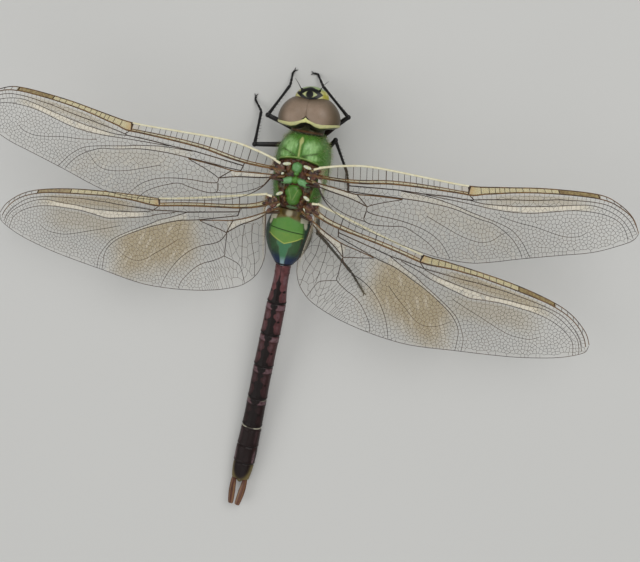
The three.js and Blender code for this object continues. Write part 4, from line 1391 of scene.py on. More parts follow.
def wing_veins(wing, sizes, dice):
    """All veins of a wing as one bmesh; material 0 is dark, 1 golden, 2 the cream edge, 3 the outer edge."""
    facts, fine, cross = wing.facts, sizes.cell_vein / MM, sizes.cross_vein / MM
    node, roots = facts["node"], root_strands(wing)
    dark, gold = [], []

    def front(out):
        return wing.row(out)[0]

    def radius(out):
        return line_at(wing.veins["radius"], out)

    for vein, (start, end, _, _) in facts["veins"].items():
        strands = gold if vein in ("radius", "subcosta", "stem_upper") else dark
        strands.append(strand(wing, wing.veins[vein], start, end))
    gold.extend(roots[1:3])
    dark.extend(roots[3:])
    rim = [point for point in reversed(wing.trail) if point[0] < 4 and point[1] < 8.5]
    dark.append(strand(wing, rim, 0.2, 0.05))
    cells = [strand(wing, edge, fine, fine) for edge in cell_edges(wing, dice)]
    for out in facts["antenodals"]:
        sub = line_at(wing.veins["subcosta"], out)
        size = cross * (1.7 if out in facts["thick"] else 1)
        shift = 0 if out in facts["thick"] else dice.uniform(-0.25, 0.25)
        dark.append(strand(wing, [(out, front(out)), (out + 0.1, sub)], size, size))
        dark.append(strand(wing, [(out + 0.1 + shift, sub), (out + 0.15 + shift, radius(out))], size, size))
    for out in facts["postnodals"]:
        dark.append(strand(wing, [(out, front(out)), (out + 0.25, radius(out))], cross, cross))
    for out in facts["stigma"]:
        dark.append(strand(wing, [(out - 0.15, front(out)), (out + 0.2, radius(out))], 0.09, 0.09))
    for shift, size in ((-0.12, 0.12), (0.08, 0.16), (0.26, 0.1)):
        top, low = front(node + shift) - 0.02, radius(node + shift)
        bar = [(node + shift, top), (node + 0.05, blend(top, low, 0.6)), (node, low)]
        dark.append(strand(wing, bar, size, size * 0.7))
    edge = [point for point in wing.lead if point[0] <= node]
    outer = [point for point in wing.lead if point[0] >= node - 0.2]
    costa = roots[:1] + [strand(wing, edge, 0.21, 0.16)]
    tip = [strand(wing, outer, 0.1, 0.06)]
    dark.append(strand(wing, wing.trail, 0.045, 0.05))
    bm = bmesh.new()
    for material, lines, sides in ((0, cells, 0), (0, dark, 1), (1, gold, 1), (2, costa, 2), (3, tip, 1)):
        mesh = wires(lines, sides)
        first = len(bm.faces)
        bm.from_mesh(mesh)
        bm.faces.ensure_lookup_table()
        for face in bm.faces[first:]:
            face.material_index = material
        bpy.data.meshes.remove(mesh)
    return bm


def wing_film(wing, sizes):
    """The membrane of a wing with its masks, as a bmesh."""
    thick = sizes.film / MM / 2
    facts = wing.facts
    stigma, node = facts["stigma"], facts["node"]

    def flat(turn, share):
        out = wing.end * (1 - (1 - share) ** 1.35)
        front, rear, _ = wing.row(out)
        return out, blend(front, rear, abs(turn) ** 1.3)

    def place(turn, share):
        out, back = flat(turn, share)
        rim = min(1, 8 * abs(turn), 8 * (1 - abs(turn)), 20 * share + 0.2, 20 * (1 - share) + 0.02)
        way = 1 if turn > 0 else -1
        return Vector((out * wing.side, back, wing.height(out, back) + way * thick * rim))

    def amber(turn, share, p):
        out, back, value = abs(p.x), p.y, 0.0
        for vein, (near, far), (start, stop), strength in facts["amber"]:
            place = wing.vein(vein, out)
            if place is not None:
                behind = back - place
                across = rise(behind, near - 0.1, near + 0.4) * (1 - rise(behind, far * 0.5, far * 1.2))
                outward = rise(out, start - 2, start + 4) * (1 - rise(out, stop - 5, stop + 2))
                value = max(value, strength * across * outward)
        return value

    def front(turn, share, p):
        out = abs(p.x)
        behind = wing.behind_radius(out, p.y)
        outer = rise(out, node - 0.2, node + 0.2) * (1 - rise(out, stigma[1] - 0.2, stigma[1] + 0.3))
        sub = wing.vein("subcosta", min(out, node - 0.1))
        inner = rise(p.y, sub - 0.05, sub + 0.05)
        return (1 - rise(behind, -0.15, 0.05)) * max(outer, 0.75 * inner * (1 - rise(out, node - 0.2, node)))

    def knot(turn, share, p):
        out = abs(p.x)
        patches = max(bell(out - node - 0.3, 0.7), 0.7 * bell(out - node + 0.8, 0.8))
        return (1 - rise(wing.behind_radius(out, p.y), -0.1, 0.1)) * patches

    def cell(turn, share, p):
        behind = wing.behind_radius(abs(p.x), p.y)
        slant = abs(p.x) - 0.3 * (p.y - wing.row(abs(p.x))[0])
        outward = rise(slant, stigma[0] - 0.1, stigma[0]) * (1 - rise(slant, stigma[1], stigma[1] + 0.1))
        return (1 - rise(behind, -0.06, 0.04)) * outward

    # Pale bands of the membrane: between the second sector and the vein between the sectors, and between the
    # third sector and the media, a painted reflection; by the root, between the two stem veins, a milky film.
    def milky(turn, share, p):
        out, back = abs(p.x), p.y
        top, low = wing.vein("sector_2", out), wing.vein("between", out)
        value = 0.0
        if top is not None and low is not None and low > top:
            outward = rise(out, node + 1.5, node + 5) * (1 - rise(out, stigma[1] - 4, stigma[1] + 1))
            value = band(back, (top + low) / 2, (low - top) * 0.42, 0.2) * outward
        for upper, lower, soft, fade, strength in (
            ("sector_3", "media", 0.15, (26, 32), 0.5),
            ("stem_upper", "stem_lower", 0.2, (6.5, 8), 0.8),
        ):
            top, low = wing.vein(upper, out), wing.vein(lower, out)
            if top is not None and low is not None:
                lane = band(back, (top + low) / 2, abs(low - top) * 0.4, soft)
                value = max(value, strength * lane * (1 - rise(out, *fade)))
        return value

    # Painted reflection: pale streaks along the folds of the membrane behind the media.
    def streak(turn, share, p):
        out, back = abs(p.x), p.y
        place = wing.vein("media", out)
        if place is None:
            return 0
        rows = math.sin(3.0 * (out - 0.75 * back) + 2.4 * noise.noise(Vector((out * 0.22, back * 0.3, 4))))
        patchy = rise(noise.noise(Vector((out * 0.3, back * 0.3, 9))), -0.2, 0.35)
        return rise(rows, 0.4, 0.95) * patchy * rise(back - place, 0.3, 1.0) * rise(out, 8, 14)

    def base(turn, share, p):
        return 0.8 * (1 - rise(abs(p.x), 0.2, 1.1))

    def pouch(turn, share, p):
        out = abs(p.x)
        rear = wing.row(out)[1]
        return (1 - rise(out, 0.5, 1.0)) * rise(p.y, rear - 2.0, rear - 1.4) * (1 - rise(p.y, 5.5, 7.5))

    marks = {
        "amber": amber,
        "front": front,
        "knot": knot,
        "stigma": cell,
        "milky": milky,
        "streak": streak,
        "base": base,
        "pouch": pouch,
    }
    bm = bmesh.new()
    skin(bm, 130, 190, place, wing.frame, marks)
    return bm


def wing_hinge(wing):
    """The small plates between the wing and the body, as a bmesh."""
    bm = bmesh.new()
    plates = (
        ((-0.95, 1.25, -0.05), (0.95, 1.0, 0.34), 0),
        ((-0.25, 0.5, 0.12), (0.6, 0.34, 0.3), 10),
        ((-0.9, 1.95, 0.05), (0.6, 0.4, 0.3), -14),
        ((0.2, 1.6, 0.02), (0.8, 0.32, 0.22), 4),
        ((-0.4, 2.75, -0.05), (0.75, 0.4, 0.24), 22),
    )
    for middle, half, turn in plates:
        skin(bm, 28, 18, egg((middle[0] * wing.side, *middle[1:]), half, turn * wing.side), wing.frame)
    return bm


def vein_finish(name, colour, second, grain, most):
    finish = Finish(name, Roughness=0.4, Coat_Weight=0.15)
    tone = finish.mix(finish.cloud(grain, 3, 0.35, 0.7, 0, most), colour, second)
    finish.bump(finish.noise(0.1, 2), 0.015)
    return finish.done(tone)


def film_finish(colours):
    finish = Finish("Wing film", Roughness=0.22, Specular_IOR_Level=0.6)
    # Painted reflection in pale bands, and the milky film by the root.
    milky = finish.times(finish.mark("milky"), finish.cloud(1.6, 3, 0.25, 0.5))
    grain = finish.mix(finish.cloud(0.4, 3, 0.35, 0.65, 0, 0.3), colours.stigma, colours.costa_gold)
    tint = finish.over(
        colours.film,
        (finish.cloud(5.0, 3, 0.3, 0.7, 0, 0.5), colours.amber),
        (finish.times(finish.mark("amber"), 2.0, clamp=True), colours.amber),
        # Painted reflection in streaks.
        (finish.mark("streak", 0.5), colours.pale),
        (milky, colours.pale),
        ("front", colours.costa_gold),
        (finish.mark("knot", 0.6), colours.node),
        ("base", colours.vein_gold),
        ("pouch", colours.pouch),
        ("stigma", grain),
    )
    alpha = finish.plus(0.04, finish.times(milky, 0.36))
    for name, share in FILM_ALPHA:
        alpha = finish.plus(alpha, finish.mark(name, share))
    alpha = finish.plus(alpha, finish.mark("stigma"), clamp=True)
    finish.bump(finish.plus(finish.noise(1.1, 2), finish.times(finish.noise(0.25, 2), 0.25)), 0.05)
    return finish.done(tint, Alpha=alpha)


def build_wings(colours, sizes):
    veins = (
        vein_finish("Cell vein", colours.vein, colours.vein_gold, 3.0, 0.35),
        vein_finish("Golden vein", colours.vein_gold, colours.vein, 2.0, 0.8),
        vein_finish("Front edge", colours.costa, colours.costa_gold, 0.6, 0.45),
        vein_finish("Outer front edge", colours.vein_gold, colours.vein, 1.5, 1.0),
    )
    film = film_finish(colours)
    hinge = Finish("Wing root plates", Roughness=0.4, Coat_Weight=0.2)
    tone = hinge.over(
        colours.root,
        (hinge.cloud(0.7, 3, 0.35, 0.65), colours.vein),
        (hinge.times(hinge.cloud(0.9, 2, 0.55, 0.7), 0.4), colours.costa_gold),
    )
    hinge.bump(hinge.noise(0.25, 3), 0.05)
    hinge.done(tone)
    dice = random.Random(11)
    for kind in WINGS:
        for name, side in SIDES.items():
            wing, full = Wing(kind, side), f"{kind}_{name}"
            keep(wing_film(wing, sizes), full + "_film", [film], (full,))
            keep(wing_veins(wing, sizes, dice), full + "_veins", veins)
            keep(wing_hinge(wing), full + "_hinge", [hinge.material])


# ---- Abdomen ----

ABDOMEN_LENGTH = sum(segment[0] for segment in SEGMENTS)
ABDOMEN_CURVE = [Vector(point) for point in smooth_line(ABDOMEN_LINE, 40)]
ABDOMEN_WALK = [0.0]
for a, b in zip(ABDOMEN_CURVE, ABDOMEN_CURVE[1:]):
    ABDOMEN_WALK.append(ABDOMEN_WALK[-1] + (b - a).length)


def abdomen_at(share):
    """The point and the direction of the abdomen's line at `share` of its length."""
    at = min(max(share, 0), 1) * ABDOMEN_WALK[-1]
    i = min(bisect.bisect_right(ABDOMEN_WALK, at) - 1, len(ABDOMEN_CURVE) - 2)
    step = ABDOMEN_CURVE[i + 1] - ABDOMEN_CURVE[i]
    point = ABDOMEN_CURVE[i] + step * ((at - ABDOMEN_WALK[i]) / step.length)
    low, high = max(i - 6, 0), min(i + 7, len(ABDOMEN_CURVE) - 1)
    return point, (ABDOMEN_CURVE[high] - ABDOMEN_CURVE[low]).normalized()


def segment_of(share):
    """The number of the segment at `share` of the abdomen, from 0, and how far along it that is."""
    at = share * ABDOMEN_LENGTH
    for i, segment in enumerate(SEGMENTS):
        if at <= segment[0] or i == len(SEGMENTS) - 1:
            return i, min(at / segment[0], 1)
        at -= segment[0]


def abdomen_size(share):
    """Half-width and half-height of the abdomen, with its joints and ridges."""
    i, t = segment_of(share)
    long, front, middle, rear = SEGMENTS[i]
    shares = (1 - t) * (1 - 2 * t), 4 * t * (1 - t), t * (2 * t - 1)
    sizes = [a * shares[0] + b * shares[1] + c * shares[2] for a, b, c in zip(front, middle, rear)]
    from_front, from_rear = t * long, (1 - t) * long
    joint = 0.0 if i < 2 else 0.09 * bell(from_front, 0.22)
    lip = 0.05 * bell(from_rear - 0.22, 0.2) - 0.08 * bell(from_rear, 0.09) if 0 < i < 9 else 0
    ridge = 0.05 * bell(t - 0.21, 0.018) if i in CARINATE else 0
    ridge += 0.05 * bell(from_front - 1.6, 0.1) if i == 1 else 0
    return [size * (1 - joint) + lip + ridge for size in sizes]


def abdomen_place(turn, share):
    inner = (share - ABDOMEN_CAP) / (1 - 2 * ABDOMEN_CAP)
    closing = min(1, share / ABDOMEN_CAP, (1 - share) / ABDOMEN_CAP)
    middle, ahead = abdomen_at(inner)
    wide, tall = abdomen_size(min(max(inner, 0), 1))
    across = Vector((0, 0, 1)).cross(ahead).normalized()
    up = ahead.cross(across)
    angle = turn * math.pi
    roof = 0.04 * bell(math.sin(angle), 0.12) * rise(math.cos(angle), 0, 0.5) if inner > 0.2 else 0
    fold = 0.05 * bell(abs(turn) - 0.74, 0.03)
    side = -1 if across.x < 0 else 1
    point = middle + across * (side * math.sin(angle) * wide * (1 - fold) * closing)
    point += up * (squared(math.cos(angle), 2.1) * tall * closing + roof * closing)
    point.z = max(point.z, 0.12)
    return point


def front_saddle(t, x, turn):
    """Masks of the first segment."""
    corner = spot(abs(x), t, (2.85, 0.6), (0.62, 0.85), 0.3)
    centre = 0.55 * spot(x, t, (0, 0.34), (0.6, 0.26), 0.9)
    dots = spot(abs(x), t, (1.0, 0.3), (0.42, 0.3), 0.7)
    green = rise(t, 0.5 + 0.12 * abs(x), 0.75 + 0.14 * abs(x))
    return {
        "brown": 1 - green,
        "green": green,
        "cream": max(corner, 0.75 * centre),
        "black": max(dots * 0.5, 1 - rise(t, 0.0, 0.14), rise(abs(turn), 0.34, 0.4)),
    }


def second_saddle(t, x, turn):
    """Masks of the second segment, whose pattern is drawn in mm along it and across."""
    y = t * SEGMENTS[1][0]
    flank = rise(abs(turn), 0.228, 0.288)
    vee = 2.55 + 1.3 * (1 - min(abs(x) / 2.7, 1)) ** 0.75
    behind = rise(y, vee - 0.05, vee + 0.2)
    width = blend(0.85, 0.3, rise(y, 4.2, 7.6)) + 0.5 * (1 - rise(y, 3.9, 4.7))
    stripe = 1 - rise(abs(x), width - 0.1, width + 0.1)
    side = behind * (1 - stripe)
    dark_line = band(y, 1.6 - 0.085 * x, 0.07, 0.08)
    return {
        "green": 1 - behind,
        "lime": rise(y, 1.7, 2.1) * (1 - behind),
        "yellow": band(y, vee, 0.06, 0.14) * (1 - flank),
        "teal": behind * stripe,
        "sky": behind * stripe * rise(y, 6.0, 7.3),
        "slate": max(flank, side * (0.5 + 0.5 * rise(y, 4.4, 6.2)) * (0.75 + 0.25 * rise(x, -1.5, 1.5))),
        "navy": side * rise(y, 5.4, 6.8),
        "wash": side * (1 - flank),
        "black": max(
            dark_line * (1 - flank),
            band(y, 7.7, 0.16, 0.1),
            0.9 * band(abs(turn), 0.43, 0.05, 0.04),
            0.4 * band(abs(turn), 0.25, 0.01, 0.02) * (1 - rise(y, 3.0, 4.5)),
        ),
        "cream": 0.9 * spot(abs(turn), y, (0.29, 0.1), (0.035, 0.9), 0.5),
    }


def middle_pattern(i, t, x, turn):
    """Masks of the third to seventh segments."""
    long = SEGMENTS[i][0]
    y = t * long
    late = (i - 2) / 4  # 0 at the third segment and 1 at the seventh
    first = i == 2
    a = abs(turn)
    uneven = 0.2 * noise.noise(Vector((x * 2.2, y * 1.6, i * 7.0)))
    core = line_at(FIRST_FIGURE if first else FIGURE, t) * (1 + 0.35 * late) + uneven * (0.5 if first else 1)
    knee = 0.68 if first else 0.55  # where the figure is widest
    vase = 1 - rise(abs(x), core - 0.06, core + 0.1)
    dots = spot(abs(x), t, (1.2, knee), (0.2, 0.035), 0.6)
    arms = 0.6 * band(t, knee, 0.012, 0.03) * (1 - rise(abs(x), 1.1, 1.3))
    tail = rise(t, 0.66, 0.97) * (1 - rise(a, 0.25, 0.4)) * (0.45 + 0.4 * late)
    joint = rise(t, 1 - 0.5 / long, 1 - 0.32 / long)
    start = 0 if first else 1 - rise(y, 0.08, 0.2)
    ridge = 0 if first else 0.8 * band(t, 0.215, 0.01, 0.014)
    front = 0 if first else band(t, 0.115, 0.07, 0.04)
    flank = 0.6 * band(a, 0.47, 0.02, 0.03)
    streak = spot(abs(x), t, (0.95, 0.38), (0.28, 0.12), 0.7)
    streak += 0.7 * spot(abs(x), t, (1.2, 0.75), (0.2, 0.16), 0.7)
    haze = max(front, 0.7 * streak * (1 - 0.75 * late)) * (1 - vase) * (1 - rise(a, 0.45, 0.6))
    gloom = 0.45 * late * (1 - haze)
    return {
        "haze": haze * (1 - 0.3 * late),
        "ring": 0.5 * band(y, 0.2, 0.04, 0.05) * rise(abs(x), 0.9, 1.3) if i == 6 else 0,
        "black": min(max(vase, dots, arms, tail, joint, start, ridge, flank, gloom), 1),
        "deep": late,
    }


def last_pattern(i, t, x, turn):
    """Masks of the last three segments."""
    a = abs(turn)
    long = SEGMENTS[i][0]
    joint = rise(t, 1 - 0.3 / long, 1 - 0.16 / long)
    marks = {"black": max(0.7 * (1 - rise(a, 0.2, 0.3)), joint, 0.6 * band(t, 0.3, 0.012, 0.02)), "deep": 1.0}
    if i == 7:
        marks["haze"] = 0.3 * spot(a, t, (0.24, 0.45), (0.05, 0.35), 0.8)
        marks["ring"] = band(t * long, 0.18, 0.06, 0.06) * (0.15 + 0.85 * rise(abs(x), 0.5, 0.9))
    if i == 8:
        marks["haze"] = 0.8 * spot(a, t, (0.33, 0.6), (0.05, 0.36), 0.7)
    if i == 9:
        centre = spot(x, t, (0, 0.2), (1.5, 0.78), 0.5)
        marks["olive"] = 1 - centre
        marks["haze"] = 0
        marks["black"] = max(0.88 * centre, 1 - rise(t, 0.02, 0.1), 0.6 * rise(a, 0.5, 0.6))
    return marks


def abdomen_marks(turn, share):
    i, t = segment_of(min(max((share - ABDOMEN_CAP) / (1 - 2 * ABDOMEN_CAP), 0), 1))
    x = math.sin(turn * math.pi) * abdomen_size(min(max(share, 0), 1))[0]
    if i == 0:
        return front_saddle(t, x, turn)
    if i == 1:
        return second_saddle(t, x, turn)
    return middle_pattern(i, t, x, turn) if i < 7 else last_pattern(i, t, x, turn)


def build_abdomen(colours):
    found = {}

    def mark(name):
        def value(turn, share, point):
            key = (turn, share)
            if found.get("key") != key:
                found["key"], found["masks"] = key, abdomen_marks(turn, share)
            return min(max(found["masks"].get(name, 0), 0), 1)

        return value

    bm = bmesh.new()
    skin(bm, 120, 700, abdomen_place, FLOOR, {name: mark(name) for name in ABDOMEN_MARKS})
    settings = {"Roughness": 0.36, "Specular_IOR_Level": 0.17, "Coat_Weight": 0.04, "Coat_Roughness": 0.2}
    finish = Finish("Abdomen shell", **settings)
    mottle = finish.cloud(0.8, 4, 0.3, 0.7)

    def mottled(share, base, second):
        return finish.mix(finish.times(mottle, share), base, second)

    haze = finish.times(finish.mark("haze"), finish.cloud(0.5, 3, 0.2, 0.6))
    tone = finish.over(
        colours.rust,
        ("deep", colours.rust_dark),
        (finish.times(mottle, 0.45), colours.black),
        (haze, colours.haze),
        ("brown", mottled(1.0, colours.saddle, colours.olive)),
        ("green", mottled(0.3, colours.green, colours.lime)),
        ("lime", mottled(0.4, colours.lime, colours.green)),
        ("wash", finish.mix(0.6, colours.green, colours.slate)),
        ("slate", mottled(0.25, colours.slate, colours.teal)),
        ("navy", colours.navy),
        ("teal", colours.teal),
        ("sky", colours.sky),
        ("cream", colours.cream),
        ("olive", mottled(0.5, colours.olive, colours.saddle)),
        ("yellow", colours.yellow),
        ("black", colours.black),
        (finish.mark("ring", 0.8), colours.cream),
    )
    finish.bump(finish.plus(finish.cells(0.17), finish.noise(0.5, 3)), 0.03)
    nodes = [f"abdomen_{i + 1}" for i in range(len(SEGMENTS))]
    keep(bm, "abdomen_shell", [finish.done(tone)], nodes)


def tail_frame():
    """The end of the abdomen's line, the way back from it on the level, and the way across."""
    end, ahead = abdomen_at(1)
    flat = Vector((ahead.x, ahead.y, 0)).normalized()
    return end, flat, Vector((flat.y, -flat.x, 0))


def build_cerci(colours):
    end, flat, across = tail_frame()
    blade = Finish("Cercus shell", Roughness=0.4, Coat_Weight=0.2)
    grain = blade.cloud(0.5, 4, 0.35, 0.75, stretch=(1, 0.25, 1))
    tone = blade.over(
        colours.blade,
        (blade.times(grain, 0.6), colours.black),
        # Tan stripes, and the painted highlight near the tips.
        (blade.mark("inner", 0.75), colours.blade_tan),
        ("edge", colours.black),
    )
    blade.bump(blade.noise(0.2, 3, stretch=(1, 0.2, 1)), 0.03)
    blade.done(tone)
    cap = 0.04
    for name, side in SIDES.items():

        def place(turn, share, side=side):
            back, aside, wide, tall = along(CERCUS_RINGS, (share - cap) / (1 - 2 * cap))
            closing = min(1, share / cap, (1 - share) / cap)
            angle = turn * math.pi
            leaf = math.sin(angle) * wide * closing
            from_ridge = math.sin(angle) - 0.25 * side
            ridge = 0.12 * bell(from_ridge, 0.16) * rise(math.cos(angle), 0, 0.4) * closing
            lift = CERCUS_LIFT + math.cos(angle) * tall * closing * (1 - 0.45 * abs(math.sin(angle))) + ridge
            return end + flat * back + across * (aside * side + leaf) + Vector((0, 0, lift))

        # Tan stripes down the blade, and near its tip a painted highlight on the inner side.
        def inner(turn, share, p, side=side):
            aside = -math.sin(turn * math.pi) * side
            stripe = bell(aside - 0.55, 0.2) * rise(share, 0.1, 0.3) + 0.7 * bell(aside + 0.55, 0.18)
            return min(stripe + 0.5 * rise(share, 0.8, 0.95) * rise(aside, 0.2, 0.6), 1)

        marks = {"inner": inner, "edge": lambda turn, share, p: 0.7 * band(abs(turn), 0.5, 0.03, 0.05)}
        bm = bmesh.new()
        skin(bm, 48, 60, place, FLOOR, marks)
        keep(bm, "cercus_" + name, [blade.material], ("cercus_" + name,))


def build_end_plates(colours):
    end, flat, across = tail_frame()
    plate = Finish("End plate shell", Roughness=0.42)
    tone = plate.mix(plate.cloud(0.4, 3, 0.35, 0.7), colours.olive, colours.black)
    plate.bump(plate.noise(0.2, 3), 0.04)
    plate.done(tone)
    bm = bmesh.new()
    for aside, lift, half in END_PLATES:
        middle = end + across * aside + flat * 0.1 + Vector((0, 0, lift))
        skin(bm, 32, 20, egg(middle, half, -3))
    keep(bm, "end_plates", [plate.material])


def build_ovipositor(colours):
    keel = Finish("Ovipositor shell", Roughness=0.42, Coat_Weight=0.2)
    tone = keel.mix(keel.cloud(0.5, 3, 0.35, 0.7), colours.rust_dark, colours.black)
    keel.bump(keel.noise(0.25, 3), 0.04)
    keel.done(tone)
    start, stop, half, drop = OVIPOSITOR["from"], OVIPOSITOR["to"], OVIPOSITOR["half"], OVIPOSITOR["drop"]

    def place(turn, share):
        middle, _ = abdomen_at(blend(start, stop, share))
        closing = math.sin(math.pi * min(max(share, 0), 1)) ** 0.4 if 0 < share < 1 else 0
        across, up = math.sin(turn * math.pi) * half[0], math.cos(turn * math.pi) * half[1]
        point = middle + Vector((across * closing, 0, up * closing - drop))
        point.z = max(point.z, 0)
        return point

    bm = bmesh.new()
    skin(bm, 40, 40, place)
    keep(bm, "ovipositor", [keel.material], ("ovipositor",))


# ---- Legs ----


def thorns(bm, start, end, count, size, turn, dice):
    """A row of spines along a limb, standing out to one side and leaning toward its foot."""
    along_limb = (end - start).normalized()
    across = Vector((0, 0, 1)).cross(along_limb).normalized()
    up = along_limb.cross(across).normalized()
    for i in range(count):
        share = (i + 0.6) / count
        out = across * math.sin(turn) + up * math.cos(turn)
        way = (out + along_limb * dice.uniform(0.7, 1.0)).normalized()
        long = size * blend(1.0, 0.6, share) * dice.uniform(0.85, 1.1)
        middle = start.lerp(end, share) + way * (0.18 + long / 2)
        if (middle + way * long / 2).z >= 0.05:
            spike(bm, middle, way, long, SPINE_RADII, 5)


def build_legs(colours, sizes):
    finish = Finish("Leg shell", Roughness=0.36, Coat_Weight=0.08)
    tone = finish.over(
        colours.leg,
        (finish.cloud(0.5, 4, 0.35, 0.7), colours.mask),
        (finish.mark("thigh", 0.8), colours.thigh),
    )
    finish.bump(finish.noise(0.15, 3, stretch=(1, 1, 0.4)), 0.03)
    finish.done(tone)
    dice = random.Random(5)
    spine = sizes.spine / MM
    for name, joints in LEGS.items():
        hip, knee, ankle, heel, toe = (Vector(joint) for joint in joints)
        bm = bmesh.new()
        thigh = {"thigh": lambda turn, share, p: 1 - rise(share, 0.2, 0.9)}
        skin(bm, 28, 20, egg(hip, COXA), FLOOR, {"thigh": lambda turn, share, p: 1.0})
        bow = hip.lerp(knee, 0.55) + Vector((0, 0, 0.12))
        skin(bm, 20, 48, rod([hip, bow, knee], FEMUR_RADII), FLOOR, thigh)
        skin(bm, 16, 12, egg(knee, (0.46, 0.46, 0.44)), FLOOR)
        start = knee.lerp(ankle, 0.3 / (ankle - knee).length)
        skin(bm, 16, 48, rod([start, start.lerp(ankle, 0.5), ankle], TIBIA_RADII), FLOOR)
        links = [ankle, ankle.lerp(heel, 0.22), ankle.lerp(heel, 0.5), heel, toe]
        for a, b, fat in zip(links, links[1:], TARSUS_RADII):
            overlap = (b - a).normalized() * 0.08
            link = [a - overlap, a.lerp(b, 0.5), b + overlap]
            skin(bm, 12, 16, rod(link, (fat * 0.8, fat, fat * 1.12), lowest=0), FLOOR)
        ahead = Vector((toe.x - heel.x, toe.y - heel.y, 0)).normalized()
        aside = Vector((-ahead.y, ahead.x, 0))
        for way in (LEFT, RIGHT):
            hook = [
                toe,
                toe + ahead * 0.3 + aside * 0.16 * way + Vector((0, 0, 0.1)),
                toe + ahead * 0.6 + aside * 0.34 * way - Vector((0, 0, 0.12)),
            ]
            skin(bm, 8, 14, rod(hook, (0.09, 0.08, 0.02), lowest=0), FLOOR)
            thorns(bm, knee.lerp(ankle, 0.1), ankle, 9, spine, math.pi * (0.5 + 0.3) * way, dice)
            thorns(bm, hip.lerp(knee, 0.35), knee, 7, spine * 0.45, math.pi * 0.72 * way, dice)
            thorns(bm, ankle, heel, 5, spine * 0.3, math.pi * 0.7 * way, dice)
        nodes = [f"leg_{name}_{part}" for part in ("femur", "tibia", "tarsus")]
        keep(bm, "leg_" + name, [finish.material], nodes)


# ---- Down ----


def build_down(colours, sizes):
    """Fine hair on the front, sides and rear edge of the thorax, each hair a thin three-sided cone."""
    shell = loft(THORAX_RINGS, THORAX_POWER, THORAX_LEAN, 0.04)
    dice = random.Random(23)
    bm = bmesh.new()
    sheet = bm.loops.layers.uv.new("OFBake")
    for _ in range(sizes.hairs):
        turn, share = dice.uniform(-1, 1), dice.uniform(0.05, 0.95)
        root = Vector(shell(turn, share))
        if root.z > 1.2 and hollow(root.x, root.y) > 0.05:
            continue
        if dice.random() > 0.3 + 0.7 * max(rise(abs(turn), 0.15, 0.45), 1 - rise(root.y, -4.4, -3.0)):
            continue
        near = Vector(shell(turn + 0.01, share)) - root, Vector(shell(turn, share + 0.01)) - root
        out = near[1].cross(near[0]).normalized()
        if out.dot(root - Vector((0, root.y, 0))) < 0:
            out.negate()
        stray = Vector([dice.uniform(-0.25, 0.25) for _ in range(3)])
        way = (out + Vector((0, 0.45, 0)) + stray).normalized()
        long = sizes.down / MM * dice.uniform(0.5, 1.1) * (0.7 + 0.3 * rise(abs(turn), 0.2, 0.5))
        if (TRUNK @ (root + way * long)).z < 0.2:
            continue
        middle = TRUNK @ (root + way * (long / 2 - 0.04))
        made = spike(bm, middle, (TRUNK.to_3x3() @ way).normalized(), long, HAIR_RADII, 3)
        u, v = (turn + 1) / 2 * 0.99 + 0.003, share * 0.99 + 0.003
        for face in {face for vertex in made for face in vertex.link_faces}:
            for i, loop in enumerate(face.loops):
                loop[sheet].uv = (u + 0.0015 * math.cos(i * 2.1), v + 0.0015 * math.sin(i * 2.1))
    finish = Finish("Down hair", Roughness=0.55)
    tone = finish.mix(finish.cloud(1.2, 2, 0.3, 0.7), colours.down, colours.green_bright)
    keep(bm, "thorax_down", [finish.done(tone)])


# ---- Stage ----

CAMERA_AT = (-35.215, -29.842, 197.309)
CAMERA_TURN = (-5.784, 9.773, -169.427)  # degrees about X, then Y, then Z
CAMERA_LENS = 61.875
LAMPS = (  # place, size, watts
    ((-0.26, -0.36, 0.62), 0.62, 3.0),
    ((0.42, 0.1, 0.5), 0.6, 1.2),
    ((-0.1, 0.5, 0.45), 0.6, 0.9),
)
FLOOR_COLOUR = 0xC6C5C1


def build_stage():
    scene = bpy.context.scene
    scene.view_settings.view_transform = "Standard"
    bm = bmesh.new()
    bmesh.ops.create_grid(bm, x_segments=2, y_segments=2, size=4)
    mesh = bpy.data.meshes.new("floor")
    bm.to_mesh(mesh)
    bm.free()
    floor = bpy.data.objects.new("floor", mesh)
    scene.collection.objects.link(floor)
    finish = Finish("Floor paint", Roughness=0.8, Specular_IOR_Level=0.15)
    pale = paint(FLOOR_COLOUR)
    faded = tuple(value * 0.97 for value in pale)
    mesh.materials.append(finish.done(finish.mix(finish.noise(60, 2), pale, faded)))
    floor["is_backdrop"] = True

    world = bpy.data.worlds.new("Studio")
    scene.world = world
    world.use_nodes = True
    world.node_tree.nodes["Background"].inputs["Color"].default_value = (0.93, 0.96, 1, 1)
    world.node_tree.nodes["Background"].inputs["Strength"].default_value = 0.36
    for i, (place, size, watts) in enumerate(LAMPS):
        data = bpy.data.lights.new(f"lamp_{i + 1}", "AREA")
        data.shape, data.size, data.energy = "DISK", size, watts
        lamp = bpy.data.objects.new(f"lamp_{i + 1}", data)
        lamp.location = place
        aim = Vector((0, -0.01, 0.005)) - Vector(place)
        lamp.rotation_euler = aim.to_track_quat("-Z", "Y").to_euler()
        scene.collection.objects.link(lamp)

    data = bpy.data.cameras.new("camera")
    data.sensor_width, data.lens, data.clip_start, data.clip_end = 36, CAMERA_LENS, 0.005, 20
    camera = bpy.data.objects.new("camera", data)
    turn = Euler([math.radians(angle) for angle in CAMERA_TURN]).to_matrix().to_4x4()
    camera.matrix_world = Matrix.Translation(Vector(CAMERA_AT) * MM) @ turn
    scene.collection.objects.link(camera)
    scene.camera = camera


# ---- Operators and panel ----


class BuildThorax(bpy.types.Operator):
    """Build the shell of the thorax, the plates of its back and the knobs at the wing roots"""

    bl_idname = "dragonfly.thorax"
    bl_label = "Thorax"

    def execute(self, context):
        build_thorax(chosen("body"))
        build_knobs(chosen("body"))
        return {"FINISHED"}


